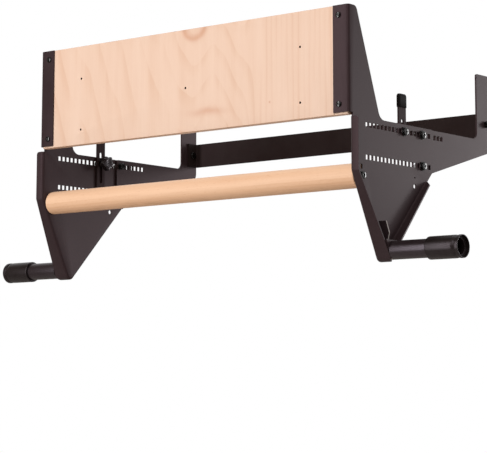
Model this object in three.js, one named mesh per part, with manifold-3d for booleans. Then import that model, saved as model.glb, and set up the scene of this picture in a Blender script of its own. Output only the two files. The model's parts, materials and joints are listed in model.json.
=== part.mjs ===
// Doorway pull-up rig: a plywood mounting board and a round wooden bar between
// two folded steel side plates. Handle tubes with rubber sleeves press on the
// near face of the door frame, and two hooks joined by a flat bar reach
// through the doorway to the far face. Slotted arms stand up under the lintel.
//
// Millimetres. X runs along the bar, Y from the room through the doorway, Z up.
// The pieces are drawn with X = 0 in the middle, Y = 0 on the front face of the
// tabs and Z = 0 just under the lowest edge. The whole rig is then moved so that Y = 0 is
// the near face of the door frame and Z = 0 the height of the handle tubes.
// Every left piece is the mirror image of the right one.

import * as THREE from 'three';
import { mergeVertices } from 'three/addons/utils/BufferGeometryUtils.js';
import Module from 'manifold-3d';

const wasm = await Module();
wasm.setup();

// Running gap between two pieces that touch on the real object
const seat = 0.3;
// How far a cutting body runs past the face that it cuts
const overrun = 2;

// Clear width between the two side plates
const span = 656.5;

// Plywood board
const board_height = 170;
const board_thickness = 15;
const board_bottom_z = 224;
const board_edge_radius = 1.2;
// How deep the tabs are let into the board's front
const tab_rebate = 0.8;
const pilot_diameter = 4;
const pilot_depth = 11;
const pilot_column_spacing = 471.5;
const pilot_high_drop = 56.4;
const pilot_low_drop = 144.3;
const pilot_middle_drop = 97.1;

// Round wooden bar
const bar_diameter = 38.6;
const bar_y = 31.4;
const bar_z = 132.2;
const bar_edge_radius = 1.5;

// Folded side plates
const plate_gauge = 2.5;
const bend_radius = 2;
const tab_width = 30;
const tab_lift = 3;
const arm_top_depth = 20.5;
const arm_foot_y = 82;
const arm_corner_radius = 9;
const arm_fillet_radius = 16;
const body_top_z = 223.2;
const body_rear_y = 229.5;
const body_rear_low_z = 158;
const body_corner_radius = 4;
// How far the front flange lies behind the tab, and where its folded edge bends
const flange_set_back = 5.4;
const flange_top_drop = 3;
const flange_break_z = 137.8;
const flange_break_radius = 12;
const flange_top_width = 13.2;
const flange_foot_width = 26;
const flange_corner_radius = 5;
// Flange along the rear edge, narrower, with its upper corner cut off
const rear_flange_y = 208.5;
const rear_flange_top_width = 9.9;
const rear_flange_foot_width = 17.5;
const rear_flange_chamfer = 7;
// Round fold at the foot that joins both flanges
const tip_y = 77.9;
const tip_z = 12.1;
const tip_radius = 10;

// Two rows of square holes along the side plates
const slot_pitch = 10;
const slot_width = 7.2;
const slot_height = 7.6;
const slot_first_y = 46.6;
const slot_high_z = 211.8;
const slot_row_spacing = 50.3;
const plate_slot_count = 18;
const hook_slot_count = 7;
// Places, counted in slots from the front, of the arm bolt and the hook bolts
const arm_slot_index = 10;
const hook_slot_index = 15;

// Holes low at the rear of each side plate, and the slot over the bar bolt
const stay_hole_diameter = 7.5;
const stay_hole_y = 175;
const stay_hole_z = 127.5;
const pin_hole_diameter = 3.4;
const pin_hole_rise = 13.8;
const key_slot_width = 4.6;
const key_slot_height = 7.6;
const key_slot_rise = 13.9;

// Handle tubes and their rubber sleeves
const tube_diameter = 29;
const tube_wall = 2;
const tube_y = 78.5;
const tube_z = 19.5;
// Length of tube that shows between the end plate and the sleeve
const tube_bare_length = 65.45;
const sleeve_length = 59.2;
const sleeve_wall = 2.9;
const sleeve_round = 2.2;
// Collar at the outer end of the sleeve, behind a shallow groove
const collar_length = 6.3;
const collar_rise = 1.2;
const groove_depth = 1.5;
const groove_slope = 5;
// Length of tube that stands out past the sleeve
const tube_tail_length = 0.3;

// End plate across the mouth of the folded channel, which carries the tube
const end_plate_gauge = 2.5;
const end_plate_margin = 1;

// Gusset that stands on the side plate over the tube
const gusset_gauge = 2.5;
const gusset_top_rise = 46.2;
const gusset_top_reach = 12;
const gusset_nose_rise = 27.3;
const gusset_nose_reach = 17.8;
const gusset_foot_rise = 15.6;
const gusset_foot_reach = 14.7;

// Rear hooks
const hook_gauge = 3;
const hook_edge = 8.5;
const hook_throat = 168.5;
const hook_width = 42;
const hook_top_z = 334;
const hook_front_low_z = 141.5;
const hook_rear_low_z = 205;
const hook_throat_radius = 11;
const hook_heel_radius = 17;
const hook_corner_radius = 4;

// Flat bar between the hooks, with both ends bent forward
const rear_bar_gauge = 3;
const rear_bar_height = 43.7;
const rear_bar_z = 251;
const rear_bar_ear = 25;
const rear_bar_bolt_inset = 14;

// Support arms with rubber caps
const arm_gauge = 3;
const arm_width = 20;
const arm_foot_z = 168;
const arm_head_z = 270;
const arm_corner = 3;
const arm_slot_width = 7;
const arm_slot_foot = 9;
const arm_slot_head_z = 232.5;
const cap_wall = 1.3;
const cap_height = 21.5;
const cap_crown = 2;
const cap_round = 5;

// Five-lobed knobs on the arm bolts
const knob_radius = 14;
const knob_lobe_depth = 3.4;
const knob_lobes = 5;
const knob_thickness = 11;
const knob_hub_diameter = 13;
const knob_hub_height = 8.5;
const knob_bore_depth = 15;

// Fasteners: machine bolts of the arms, hooks and rear bar
const bolt_diameter = 6;
const bolt_head_diameter = 12.4;
const bolt_head_height = 3.6;
const bolt_hole_diameter = 6.8;
const bolt_tail = 2.5;
const washer_diameter = 14.6;
const washer_thickness = 1.3;
const inner_washer_diameter = 12;
const nut_flats = 10;
const nut_sides = 6;
const nut_height = 5;

// Fasteners: bar screws and board screws
const bar_screw_diameter = 6;
const bar_screw_length = 45;
const bar_screw_head_diameter = 11;
const bar_screw_head_height = 3.5;
const bar_washer_diameter = 12.6;
const board_screw_diameter = 4.5;
const board_screw_length = 13;
const board_screw_head_diameter = 9;
const board_screw_head_height = 2.4;
const board_screw_drop = 15.7;
const board_screw_inset = 19;

// Numbers of facets
const bend_steps = 4;
const corner_steps = 5;
const tip_steps = 12;
const tube_steps = 36;
const bar_steps = 48;
const bolt_steps = 16;
const hole_steps = 14;
const dome_steps = 3;
const lobe_steps = 10;

// Places that follow from the sizes above
const inner_x = span / 2;
const outer_x = inner_x + plate_gauge;
const plate_top_z = board_bottom_z + board_height;
const outer_bend = bend_radius + plate_gauge;
const tube_radius = tube_diameter / 2;
const flange_top_z = body_top_z - flange_top_drop;
const tube_start_x = outer_x + flange_foot_width + seat;
const slot_low_z = slot_high_z - slot_row_spacing;
const hook_bolt_y = slotY(hook_slot_index);
const arm_y = slotY(arm_slot_index);
const hook_outer_x = inner_x - seat;
const hook_inner_x = hook_outer_x - hook_gauge;
const hook_front_y = hook_bolt_y - hook_edge;
const hook_throat_y = hook_bolt_y + hook_throat;
const hook_rear_y = hook_throat_y + hook_width;
const arm_outer_x = inner_x - seat;
const arm_inner_x = arm_outer_x - arm_gauge;
const board_front_y = plate_gauge + seat - tab_rebate;
const board_half = inner_x - bend_radius - seat;
const sleeve_radius = tube_radius + seat + sleeve_wall;
const sleeve_start_x = tube_start_x + tube_bare_length;
const sleeve_end_x = sleeve_start_x + sleeve_length;
const tube_end_x = sleeve_end_x + tube_tail_length;

const looks = {
  steel: { color: 0x4c4345, roughness: 0.62, metalness: 0.25 },
  rear_steel: { color: 0x2b2422, roughness: 0.6, metalness: 0.25 },
  tube: { color: 0x3a3436, roughness: 0.38, metalness: 0.3 },
  ply: { color: 0xecc8ad, roughness: 0.6, metalness: 0 },
  beech: { color: 0xf2c8a2, roughness: 0.5, metalness: 0 },
  rubber: { color: 0x262223, roughness: 0.75, metalness: 0 },
  knob: { color: 0x171516, roughness: 0.45, metalness: 0 },
  black_bolt: { color: 0x1b1819, roughness: 0.35, metalness: 0.6 },
};

// Y of the hole with the given index in both rows
function slotY(index) {
  return slot_first_y + index * slot_pitch;
}

// Closed solid from a geometry, with shared corners merged
function toSolid(geometry) {
  const plain = geometry.clone();
  plain.deleteAttribute('normal');
  plain.deleteAttribute('uv');
  const welded = mergeVertices(plain);
  const mesh = new wasm.Mesh({
    numProp: 3,
    vertProperties: new Float32Array(welded.attributes.position.array),
    triVerts: new Uint32Array(welded.index.array),
  });
  return new wasm.Manifold(mesh);
}

// Geometry from a closed solid
function toGeometry(solid) {
  const mesh = solid.getMesh();
  const geometry = new THREE.BufferGeometry();
  geometry.setAttribute('position', new THREE.BufferAttribute(new Float32Array(mesh.vertProperties), 3));
  geometry.setIndex(new THREE.BufferAttribute(new Uint32Array(mesh.triVerts), 1));
  geometry.computeVertexNormals();
  return geometry;
}

// The first geometry less all the others
function cut(base, ...tools) {
  const rest = tools.reduce((solid, tool) => solid.subtract(toSolid(tool)), toSolid(base));
  return toGeometry(rest);
}

// All the geometries joined into one solid
function join(...pieces) {
  const [first, ...others] = pieces.map(toSolid);
  return toGeometry(others.reduce((solid, piece) => solid.add(piece), first));
}

// Mirror image across X = 0, with the faces turned to point out again
function mirrored(geometry) {
  const flipped = (geometry.index ? geometry.toNonIndexed() : geometry.clone()).scale(-1, 1, 1);
  const place = flipped.attributes.position;
  const a = new THREE.Vector3();
  const b = new THREE.Vector3();
  for (let i = 0; i < place.count; i += 3) {
    a.fromBufferAttribute(place, i + 1);
    b.fromBufferAttribute(place, i + 2);
    place.setXYZ(i + 1, b.x, b.y, b.z);
    place.setXYZ(i + 2, a.x, a.y, a.z);
  }
  flipped.computeVertexNormals();
  return flipped;
}

// Points of an arc from angle a0 to a1, both ends included
function arc(x, y, radius, a0, a1, steps) {
  return Array.from({ length: steps + 1 }, (_, i) => {
    const angle = a0 + ((a1 - a0) * i) / steps;
    return new THREE.Vector2(x + radius * Math.cos(angle), y + radius * Math.sin(angle));
  });
}

// Points of a full circle
function circle(x, y, radius, steps) {
  return arc(x, y, radius, 0, 2 * Math.PI, steps).slice(0, -1);
}

// Points of a rectangle round a centre
function rectangle(x, y, width, height) {
  const w = width / 2;
  const h = height / 2;
  return [[x - w, y - h], [x + w, y - h], [x + w, y + h], [x - w, y + h]].map((p) => new THREE.Vector2(...p));
}

// Outline through corners [x, y, radius], where a radius rounds that corner
function rounded(corners, steps = corner_steps) {
  const points = [];
  corners.forEach(([x, y, radius = 0], i) => {
    const here = new THREE.Vector2(x, y);
    const [px, py] = corners[(i + corners.length - 1) % corners.length];
    const [nx, ny] = corners[(i + 1) % corners.length];
    const back = new THREE.Vector2(px, py).sub(here).normalize();
    const on = new THREE.Vector2(nx, ny).sub(here).normalize();
    if (radius === 0) {
      points.push(here);
      return;
    }
    const half = Math.acos(THREE.MathUtils.clamp(back.dot(on), -1, 1)) / 2;
    const centre = here.clone().addScaledVector(back.clone().add(on).normalize(), radius / Math.sin(half));
    const start = here.clone().addScaledVector(back, radius / Math.tan(half)).sub(centre);
    const turn = Math.sign(back.cross(on)) * (Math.PI - 2 * half) * -1;
    points.push(...arc(centre.x, centre.y, radius, start.angle(), start.angle() + turn, steps));
  });
  return points;
}

// Flat plate from an outline and holes, drawn on two axes and extruded along the third
function extruded(outline, depth, holes = []) {
  const shape = new THREE.Shape(outline);
  shape.holes = holes.map((hole) => new THREE.Path(hole));
  return new THREE.ExtrudeGeometry(shape, { depth, bevelEnabled: false });
}

// Plate with its outline in (Y, Z), from X = x to x + depth
function plateX(outline, x, depth, holes = []) {
  const axes = new THREE.Matrix4().makeBasis(
    new THREE.Vector3(0, 1, 0),
    new THREE.Vector3(0, 0, 1),
    new THREE.Vector3(1, 0, 0),
  );
  return extruded(outline, depth, holes).applyMatrix4(axes).translate(x, 0, 0);
}

// Plate as above, with any number of holes cut right through it
function pierced(outline, x, depth, holes) {
  const tools = holes.map((hole) => plateX(hole, x - overrun, depth + 2 * overrun));
  return cut(plateX(outline, x, depth), ...tools);
}

// Plate with its outline in (X, Z), from Y = y to y + depth
function plateY(outline, y, depth, holes = []) {
  return extruded(outline, depth, holes).rotateX(Math.PI / 2).translate(0, y + depth, 0);
}

// Body of revolution round the X axis, from profile points (x, radius)
function turned(profile, steps) {
  const points = profile.map(([x, radius]) => new THREE.Vector2(radius, x));
  return new THREE.LatheGeometry(points, steps).rotateZ(-Math.PI / 2);
}

// Round rod along X
function rod(x, y, z, radius, length, steps = hole_steps) {
  return turned([[0, 0], [0, radius], [length, radius], [length, 0]], steps).translate(x, y, z);
}

// Angles of the inward normal on the slanted front line and on the rear line
const front_angle = tangentAngle(flange_set_back, flange_break_z, -1);
const rear_angle = tangentAngle(body_rear_y, body_rear_low_z, 1);

// Angle of the inward normal on the line from a corner to the tip's circle
function tangentAngle(y, z, side) {
  const reach = new THREE.Vector2(tip_y - y, tip_z - z);
  const turn = Math.acos(tip_radius / reach.length());
  const heading = Math.atan2(reach.y, reach.x);
  return side < 0 ? heading + turn : heading + 2 * Math.PI - turn;
}

// Points of an arc of the folded edge with the inward normal, and the width of
// the flange there, which changes evenly from w0 to w1
function edgeArc({ y, z, radius, a0, a1, w0, w1, steps }) {
  return Array.from({ length: steps + 1 }, (_, i) => {
    const angle = THREE.MathUtils.lerp(a0, a1, i / steps);
    const normal = new THREE.Vector2(Math.cos(angle), Math.sin(angle));
    const point = new THREE.Vector2(y, z).addScaledVector(normal, -radius);
    return { point, normal, width: THREE.MathUtils.lerp(w0, w1, i / steps) };
  });
}

// The round fold at the foot of the folded edge
function tipArc() {
  return edgeArc({
    y: tip_y,
    z: tip_z,
    radius: tip_radius,
    a0: front_angle,
    a1: rear_angle,
    w0: flange_foot_width,
    w1: rear_flange_foot_width,
    steps: tip_steps,
  });
}

// The bend in the front flange, between its upright and its slanted part
function breakArc() {
  return edgeArc({
    y: flange_set_back + flange_break_radius,
    z: flange_break_z + flange_break_radius * Math.tan(front_angle / 2),
    radius: flange_break_radius,
    a0: 0,
    a1: front_angle,
    w0: flange_top_width,
    w1: flange_top_width,
    steps: bend_steps,
  });
}

// Path of the folded edge from the top of the front flange down, round the tip
// and up the rear edge
function edgePath() {
  const front = new THREE.Vector2(1, 0);
  const rear = new THREE.Vector2(Math.cos(rear_angle), Math.sin(rear_angle));
  const along = new THREE.Vector2(rear.y, -rear.x);
  const drop = ((body_rear_y - rear_flange_y) * along.y) / along.x;
  const end = new THREE.Vector2(rear_flange_y, body_rear_low_z - drop);
  const before = end.clone().addScaledVector(along, -rear_flange_chamfer);
  return [
    { point: new THREE.Vector2(flange_set_back, flange_top_z), normal: front, width: flange_top_width },
    ...breakArc(),
    ...tipArc(),
    { point: before, normal: rear, width: rear_flange_top_width },
    { point: end, normal: rear, width: rear_flange_top_width - rear_flange_chamfer },
  ];
}

// Points of a path moved inward
function inset(path, distance) {
  return path.map(({ point, normal }) => point.clone().addScaledVector(normal, distance));
}

// Profile carried along a path: its x runs along the inward normal and its y
// along X, no further than the width of the flange
function swept(profile, path) {
  const steps = path.length - 1;
  const geometry = new THREE.ExtrudeGeometry(new THREE.Shape(profile), {
    depth: steps,
    steps,
    bevelEnabled: false,
  });
  const corners = geometry.attributes.position;
  for (let i = 0; i < corners.count; i += 1) {
    const { point, normal, width } = path[Math.round(corners.getZ(i))];
    const depth = corners.getX(i);
    const x = inner_x + Math.min(corners.getY(i), plate_gauge + width);
    corners.setXYZ(i, x, point.x + depth * normal.x, point.y + depth * normal.y);
  }
  return geometry;
}

// Folded ribbon along the edge: a bend and a flange that stands out from the plate
function edgeRibbon() {
  const reach = plate_gauge + flange_foot_width;
  const profile = [
    ...arc(outer_bend, outer_bend, outer_bend, Math.PI, 1.5 * Math.PI, bend_steps),
    new THREE.Vector2(outer_bend + bend_radius, 0),
    new THREE.Vector2(outer_bend + bend_radius, plate_gauge),
    ...arc(outer_bend, outer_bend, bend_radius, 1.5 * Math.PI, Math.PI, bend_steps),
    new THREE.Vector2(plate_gauge, reach),
    new THREE.Vector2(0, reach),
  ];
  return cut(swept(profile, edgePath()), flangeTrim());
}

// Body that rounds off the upper corner of the front flange
function flangeTrim() {
  const edge = outer_x + flange_top_width;
  const r = flange_corner_radius;
  const outline = [
    ...arc(edge - r, flange_top_z - r, r, 0, Math.PI / 2, corner_steps),
    new THREE.Vector2(edge - r, flange_top_z + overrun),
    new THREE.Vector2(edge + overrun, flange_top_z + overrun),
    new THREE.Vector2(edge + overrun, flange_top_z - r),
  ];
  return plateY(outline, flange_set_back - overrun, plate_gauge + 2 * overrun);
}

// Front tab that laps the board's end, bent in from the outer face
function boardTab() {
  const edge = outer_x - tab_width;
  const outline = [
    new THREE.Vector2(outer_x, outer_bend + bend_radius),
    new THREE.Vector2(inner_x, outer_bend + bend_radius),
    ...arc(outer_x - outer_bend, outer_bend, bend_radius, 0, -Math.PI / 2, bend_steps),
    new THREE.Vector2(edge, plate_gauge),
    new THREE.Vector2(edge, 0),
    ...arc(outer_x - outer_bend, outer_bend, outer_bend, -Math.PI / 2, 0, bend_steps),
  ];
  const foot = board_bottom_z + tab_lift;
  return extruded(outline, plate_top_z - foot).translate(0, 0, foot);
}

// The flat web of the side plate, with both rows of square holes
function plateWeb() {
  const path = edgePath();
  const rear_edge = path.at(-1).point;
  const tab_foot_z = board_bottom_z + tab_lift;
  const outline = [
    ...rounded([
      [flange_set_back + outer_bend, tab_foot_z],
      [outer_bend, tab_foot_z],
      [outer_bend, plate_top_z],
      [arm_top_depth, plate_top_z, arm_corner_radius],
      [arm_foot_y, body_top_z, arm_fillet_radius],
      [body_rear_y, body_top_z, body_corner_radius],
      [body_rear_y, body_rear_low_z, body_corner_radius],
      [rear_edge.x, rear_edge.y],
    ]),
    ...inset(path, outer_bend).reverse(),
  ];
  const holes = [
    circle(bar_y, bar_z, bar_screw_diameter / 2 + seat, hole_steps),
    circle(stay_hole_y, stay_hole_z, stay_hole_diameter / 2, hole_steps),
    circle(stay_hole_y, stay_hole_z + pin_hole_rise, pin_hole_diameter / 2, hole_steps),
    rectangle(bar_y, bar_z + key_slot_rise, key_slot_width, key_slot_height),
  ];
  for (let i = 0; i < plate_slot_count; i += 1) {
    holes.push(rectangle(slotY(i), slot_high_z, slot_width, slot_height));
    holes.push(rectangle(slotY(i), slot_low_z, slot_width, slot_height));
  }
  return pierced(outline, inner_x, plate_gauge, holes);
}

// Places (x, z) of the two screws in the right tab
function boardScrewPlaces() {
  const x = outer_x - board_screw_inset;
  return [plate_top_z - board_screw_drop, board_bottom_z + board_screw_drop].map((z) => [x, z]);
}

function sidePlate() {
  const holes = boardScrewPlaces().map(([x, z]) => (
    plateY(circle(x, z, board_screw_diameter / 2 + seat, hole_steps), -overrun, plate_gauge + 2 * overrun)
  ));
  return cut(join(plateWeb(), edgeRibbon(), boardTab()), ...holes);
}

// End plate across the mouth of the channel, from the tip to the top of the tube
function tubeEndPlate() {
  const top_z = tube_z + tube_radius + end_plate_margin;
  const rear_y = tube_y + tube_radius + end_plate_margin;
  const tip = inset(tipArc(), plate_gauge + seat);
  const first = tip[0];
  const last = tip.at(-1);
  const outline = [
    new THREE.Vector2(first.x - (top_z - first.y) * Math.tan(front_angle), top_z),
    ...tip,
    new THREE.Vector2(rear_y, last.y - (rear_y - last.x) / Math.tan(rear_angle)),
    new THREE.Vector2(rear_y, top_z),
  ];
  return plateX(outline, tube_start_x - seat - end_plate_gauge, end_plate_gauge);
}

// Gusset over the tube, square to the side plate
function tubeGusset() {
  const root_x = outer_x + seat;
  const outline = [
    new THREE.Vector2(root_x, tube_z + gusset_foot_rise),
    new THREE.Vector2(outer_x + gusset_foot_reach, tube_z + gusset_foot_rise),
    new THREE.Vector2(outer_x + gusset_nose_reach, tube_z + gusset_nose_rise),
    new THREE.Vector2(outer_x + gusset_top_reach, tube_z + gusset_top_rise),
    new THREE.Vector2(root_x, tube_z + gusset_top_rise),
  ];
  return plateY(outline, tube_y - gusset_gauge / 2, gusset_gauge);
}

// Handle tube, open at its outer end
function handleTube() {
  const bore = tube_radius - tube_wall;
  return turned([
    [tube_start_x, bore],
    [tube_start_x, tube_radius],
    [tube_end_x, tube_radius],
    [tube_end_x, bore],
    [tube_start_x, bore],
  ], tube_steps).translate(0, tube_y, tube_z);
}

// Rubber sleeve over the tube, open at both ends, with a collar at the outer one
function tubeSleeve() {
  const bore = tube_radius + seat;
  const round = sleeve_round;
  const groove_x = sleeve_end_x - collar_length;
  const rim = (x, side) => (
    arc(x, sleeve_radius - round, round, side, Math.PI / 2, bend_steps).map((p) => [p.x, p.y])
  );
  return turned([
    [sleeve_start_x, bore],
    ...rim(sleeve_start_x + round, Math.PI),
    [groove_x - groove_slope, sleeve_radius],
    [groove_x, sleeve_radius - groove_depth],
    [groove_x + collar_rise, sleeve_radius],
    ...rim(sleeve_end_x - round, 0).reverse(),
    [sleeve_end_x, bore],
    [sleeve_start_x, bore],
  ], tube_steps).translate(0, tube_y, tube_z);
}

// Rear hook: a tapered leg bolted to the side plate and an upright at its end
function hookPlate() {
  const outline = rounded([
    [hook_front_y, hook_front_low_z, hook_corner_radius],
    [hook_rear_y, hook_rear_low_z, hook_heel_radius],
    [hook_rear_y, hook_top_z, hook_corner_radius],
    [hook_throat_y, hook_top_z, hook_corner_radius],
    [hook_throat_y, body_top_z, hook_throat_radius],
    [hook_front_y, body_top_z, hook_corner_radius],
  ]);
  const holes = [circle(rearBoltY(), rear_bar_z, bolt_hole_diameter / 2, hole_steps)];
  for (let i = 0; i < hook_slot_count; i += 1) {
    holes.push(rectangle(slotY(hook_slot_index + i), slot_high_z, slot_width, slot_height));
  }
  holes.push(rectangle(hook_bolt_y, slot_low_z, slot_width, slot_height));
  holes.push(rectangle(hook_bolt_y + slot_pitch, slot_low_z, slot_width, slot_height));
  return pierced(outline, hook_inner_x, hook_gauge, holes);
}

// Y of the bolt through each ear of the rear bar
function rearBoltY() {
  return hook_rear_y - rear_bar_bolt_inset;
}

// Flat bar between the hooks: one strip bent forward at both ends
function rearBar() {
  const half = hook_inner_x - seat;
  const bend = rear_bar_gauge + bend_radius;
  const back = hook_rear_y;
  const outline = rounded([
    [-half, back - rear_bar_ear],
    [-half + rear_bar_gauge, back - rear_bar_ear],
    [-half + rear_bar_gauge, back - rear_bar_gauge, bend_radius],
    [half - rear_bar_gauge, back - rear_bar_gauge, bend_radius],
    [half - rear_bar_gauge, back - rear_bar_ear],
    [half, back - rear_bar_ear],
    [half, back, bend],
    [-half, back, bend],
  ], bend_steps);
  const strip = extruded(outline, rear_bar_height).translate(0, 0, rear_bar_z - rear_bar_height / 2);
  const length = 2 * half + 2 * overrun;
  return cut(strip, rod(-length / 2, rearBoltY(), rear_bar_z, bolt_hole_diameter / 2, length));
}

// Plywood board with slightly eased long edges, pilot holes and screw holes
function board() {
  const r = board_edge_radius;
  const back = board_front_y + board_thickness;
  const section = rounded([
    [board_front_y, board_bottom_z, r],
    [back, board_bottom_z, r],
    [back, plate_top_z, r],
    [board_front_y, plate_top_z, r],
  ], 2);
  const pilots = [-pilot_column_spacing / 2, pilot_column_spacing / 2].flatMap((x) => [
    [x, plate_top_z - pilot_high_drop],
    [x, plate_top_z - pilot_low_drop],
  ]);
  pilots.push([0, plate_top_z - pilot_middle_drop]);
  const screws = boardScrewPlaces().flatMap(([x, z]) => [[x, z], [-x, z]]);
  const rebate_x = outer_x - tab_width - seat;
  const rebate = plateY(
    rectangle(rebate_x + tab_width, board_bottom_z + board_height / 2, 2 * tab_width, 2 * board_height),
    board_front_y - overrun,
    overrun + tab_rebate,
  );
  const bores = [
    rebate,
    mirrored(rebate),
    ...pilots.map(([x, z]) => boreY(x, z, pilot_diameter, pilot_depth)),
    ...screws.map(([x, z]) => boreY(x, z, board_screw_diameter + 2 * seat, board_screw_length)),
  ];
  return cut(plateX(section, -board_half, 2 * board_half), ...bores);
}

// Blind hole into the board's front face
function boreY(x, z, diameter, depth) {
  return plateY(circle(x, z, diameter / 2, hole_steps), board_front_y - overrun, depth + overrun);
}

// Round wooden bar with a screw bore in each end
function pullUpBar() {
  const half = inner_x - seat;
  const radius = bar_diameter / 2;
  const bore = bar_screw_diameter / 2 + seat;
  const depth = bar_screw_length;
  const edge = arc(half - bar_edge_radius, radius - bar_edge_radius, bar_edge_radius, 0, Math.PI / 2, 2);
  const right = edge.map((p) => [p.x, p.y]);
  const left = edge.map((p) => [-p.x, p.y]).reverse();
  return turned([
    [-half + depth, 0],
    [-half + depth, bore],
    [-half, bore],
    ...left.reverse(),
    ...right.reverse(),
    [half, bore],
    [half - depth, bore],
    [half - depth, 0],
  ], bar_steps).translate(0, bar_y, bar_z);
}

// Slotted support arm, a flat bar that slides up and down on its bolt
function supportArm() {
  const outline = rounded([
    [arm_y - arm_width / 2, arm_foot_z, arm_corner],
    [arm_y + arm_width / 2, arm_foot_z, arm_corner],
    [arm_y + arm_width / 2, arm_head_z, arm_corner],
    [arm_y - arm_width / 2, arm_head_z, arm_corner],
  ], 3);
  const radius = arm_slot_width / 2;
  const foot = arm_foot_z + arm_slot_foot + radius;
  const slot = [
    ...arc(arm_y, arm_slot_head_z - radius, radius, 0, Math.PI, 2 * bend_steps),
    ...arc(arm_y, foot, radius, Math.PI, 2 * Math.PI, 2 * bend_steps),
  ];
  return plateX(outline, arm_inner_x, arm_gauge, [slot]);
}

// Rubber cap over the head of the arm
function armCap() {
  const wide = arm_width / 2 + seat + cap_wall;
  const top = arm_head_z + seat + cap_crown;
  const skin = rounded([
    [arm_y - wide, top - cap_height, cap_wall],
    [arm_y + wide, top - cap_height, cap_wall],
    [arm_y + wide, top, cap_round],
    [arm_y - wide, top, cap_round],
  ], 4);
  const hollow = rectangle(arm_y, arm_head_z + seat - cap_height / 2, arm_width + 2 * seat, cap_height);
  const x = arm_inner_x - seat - cap_wall;
  const blank = plateX(skin, x, arm_gauge + 2 * (seat + cap_wall));
  return cut(blank, plateX(hollow, arm_inner_x - seat, arm_gauge + 2 * seat));
}

// Five-lobed knob with a hub against the arm and a blind bore for the bolt
function starKnob() {
  const face = arm_inner_x - seat;
  const steps = knob_lobes * lobe_steps;
  const middle = knob_radius - knob_lobe_depth / 2;
  const outline = Array.from({ length: steps }, (_, i) => {
    const angle = (2 * Math.PI * i) / steps - Math.PI / 2;
    const radius = middle + (knob_lobe_depth / 2) * Math.cos((2 * Math.PI * i * knob_lobes) / steps);
    return new THREE.Vector2(arm_y + radius * Math.cos(angle), slot_high_z + radius * Math.sin(angle));
  });
  const hub_inner = face - knob_hub_height;
  const star = plateX(outline, hub_inner - knob_thickness, knob_thickness);
  const hub_radius = knob_hub_diameter / 2;
  const hub = rod(hub_inner - overrun, arm_y, slot_high_z, hub_radius, knob_hub_height + overrun, bolt_steps);
  const bore_radius = bolt_diameter / 2 + seat;
  const bore = rod(face - knob_bore_depth, arm_y, slot_high_z, bore_radius, knob_bore_depth + overrun);
  return cut(join(star, hub), bore);
}

// Domed head and shank along +X: the underside of the head is at x, the shank
// runs towards -X for the given length
function domedBolt(x, y, z, sizes) {
  const { shank, length, head, rise } = sizes;
  const radius = head / 2;
  const ball = (radius * radius + rise * rise) / (2 * rise);
  const half = Math.asin(radius / ball);
  const dome = Array.from({ length: dome_steps }, (_, i) => {
    const angle = half * (1 - i / dome_steps);
    return [rise - ball + ball * Math.cos(angle), ball * Math.sin(angle)];
  });
  return turned([
    [-length, 0],
    [-length, shank / 2],
    [0, shank / 2],
    ...dome,
    [rise, 0],
  ], bolt_steps).translate(x, y, z);
}

// Flat ring along +X, its near face at x
function washer(x, y, z, diameter, bore) {
  return turned([
    [0, bore / 2],
    [0, diameter / 2],
    [washer_thickness, diameter / 2],
    [washer_thickness, bore / 2],
    [0, bore / 2],
  ], bolt_steps).translate(x, y, z);
}

// Hexagonal nut along +X, its near face at x
function nut(x, y, z) {
  const corner_radius = nut_flats / 2 / Math.cos(Math.PI / nut_sides);
  const corners = circle(y, z, corner_radius, nut_sides);
  return plateX(corners, x, nut_height, [circle(y, z, bolt_diameter / 2 + seat, hole_steps)]);
}

const hole_bore = bolt_diameter + 2 * seat;
const outer_washer_x = outer_x + seat;
const outer_head_x = outer_washer_x + washer_thickness + seat;

// Bolt through the side plate and the arm into the knob
function armBolt() {
  const tip = arm_inner_x - seat - knob_bore_depth + bolt_tail;
  const sizes = {
    shank: bolt_diameter,
    length: outer_head_x - tip,
    head: bolt_head_diameter,
    rise: bolt_head_height,
  };
  return domedBolt(outer_head_x, arm_y, slot_high_z, sizes);
}

// Bolt, washers and nut that hold a hook to its side plate, at either row
const hook_washer_x = hook_inner_x - seat - washer_thickness;
const hook_nut_x = hook_washer_x - seat - nut_height;

function hookBolt(z) {
  const sizes = {
    shank: bolt_diameter,
    length: outer_head_x - hook_nut_x + bolt_tail,
    head: bolt_head_diameter,
    rise: bolt_head_height,
  };
  return domedBolt(outer_head_x, hook_bolt_y, z, sizes);
}

// Bolt in the ear of the rear bar: its head inside, its nut outside the hook
const ear_face_x = hook_inner_x - seat - rear_bar_gauge;
const rear_nut_x = hook_outer_x + seat;

function rearBarBolt() {
  const sizes = {
    shank: bolt_diameter,
    length: rear_nut_x + nut_height + bolt_tail - ear_face_x + seat,
    head: bolt_head_diameter,
    rise: bolt_head_height,
  };
  return domedBolt(0, 0, 0, sizes)
    .rotateZ(Math.PI)
    .translate(ear_face_x - seat, rearBoltY(), rear_bar_z);
}

function barScrew() {
  const sizes = {
    shank: bar_screw_diameter,
    length: outer_head_x - inner_x + bar_screw_length - bolt_tail,
    head: bar_screw_head_diameter,
    rise: bar_screw_head_height,
  };
  return domedBolt(outer_head_x, bar_y, bar_z, sizes);
}

// Screw through a tab into the board, its head to the front
function boardScrew([x, z]) {
  const sizes = {
    shank: board_screw_diameter,
    length: board_screw_length,
    head: board_screw_head_diameter,
    rise: board_screw_head_height,
  };
  return domedBolt(0, 0, 0, sizes).rotateZ(-Math.PI / 2).translate(x, -seat, z);
}

const rig = new THREE.Group();
rig.position.set(0, -(tube_y + sleeve_radius), -tube_z);

function place(name, geometry, look) {
  const mesh = new THREE.Mesh(geometry, new THREE.MeshStandardMaterial(looks[look]));
  mesh.name = name;
  rig.add(mesh);
}

// One piece on each side, the left one mirrored
function placePair(name, geometry, look) {
  place(`${name}_right`, geometry, look);
  place(`${name}_left`, mirrored(geometry), look);
}

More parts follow.
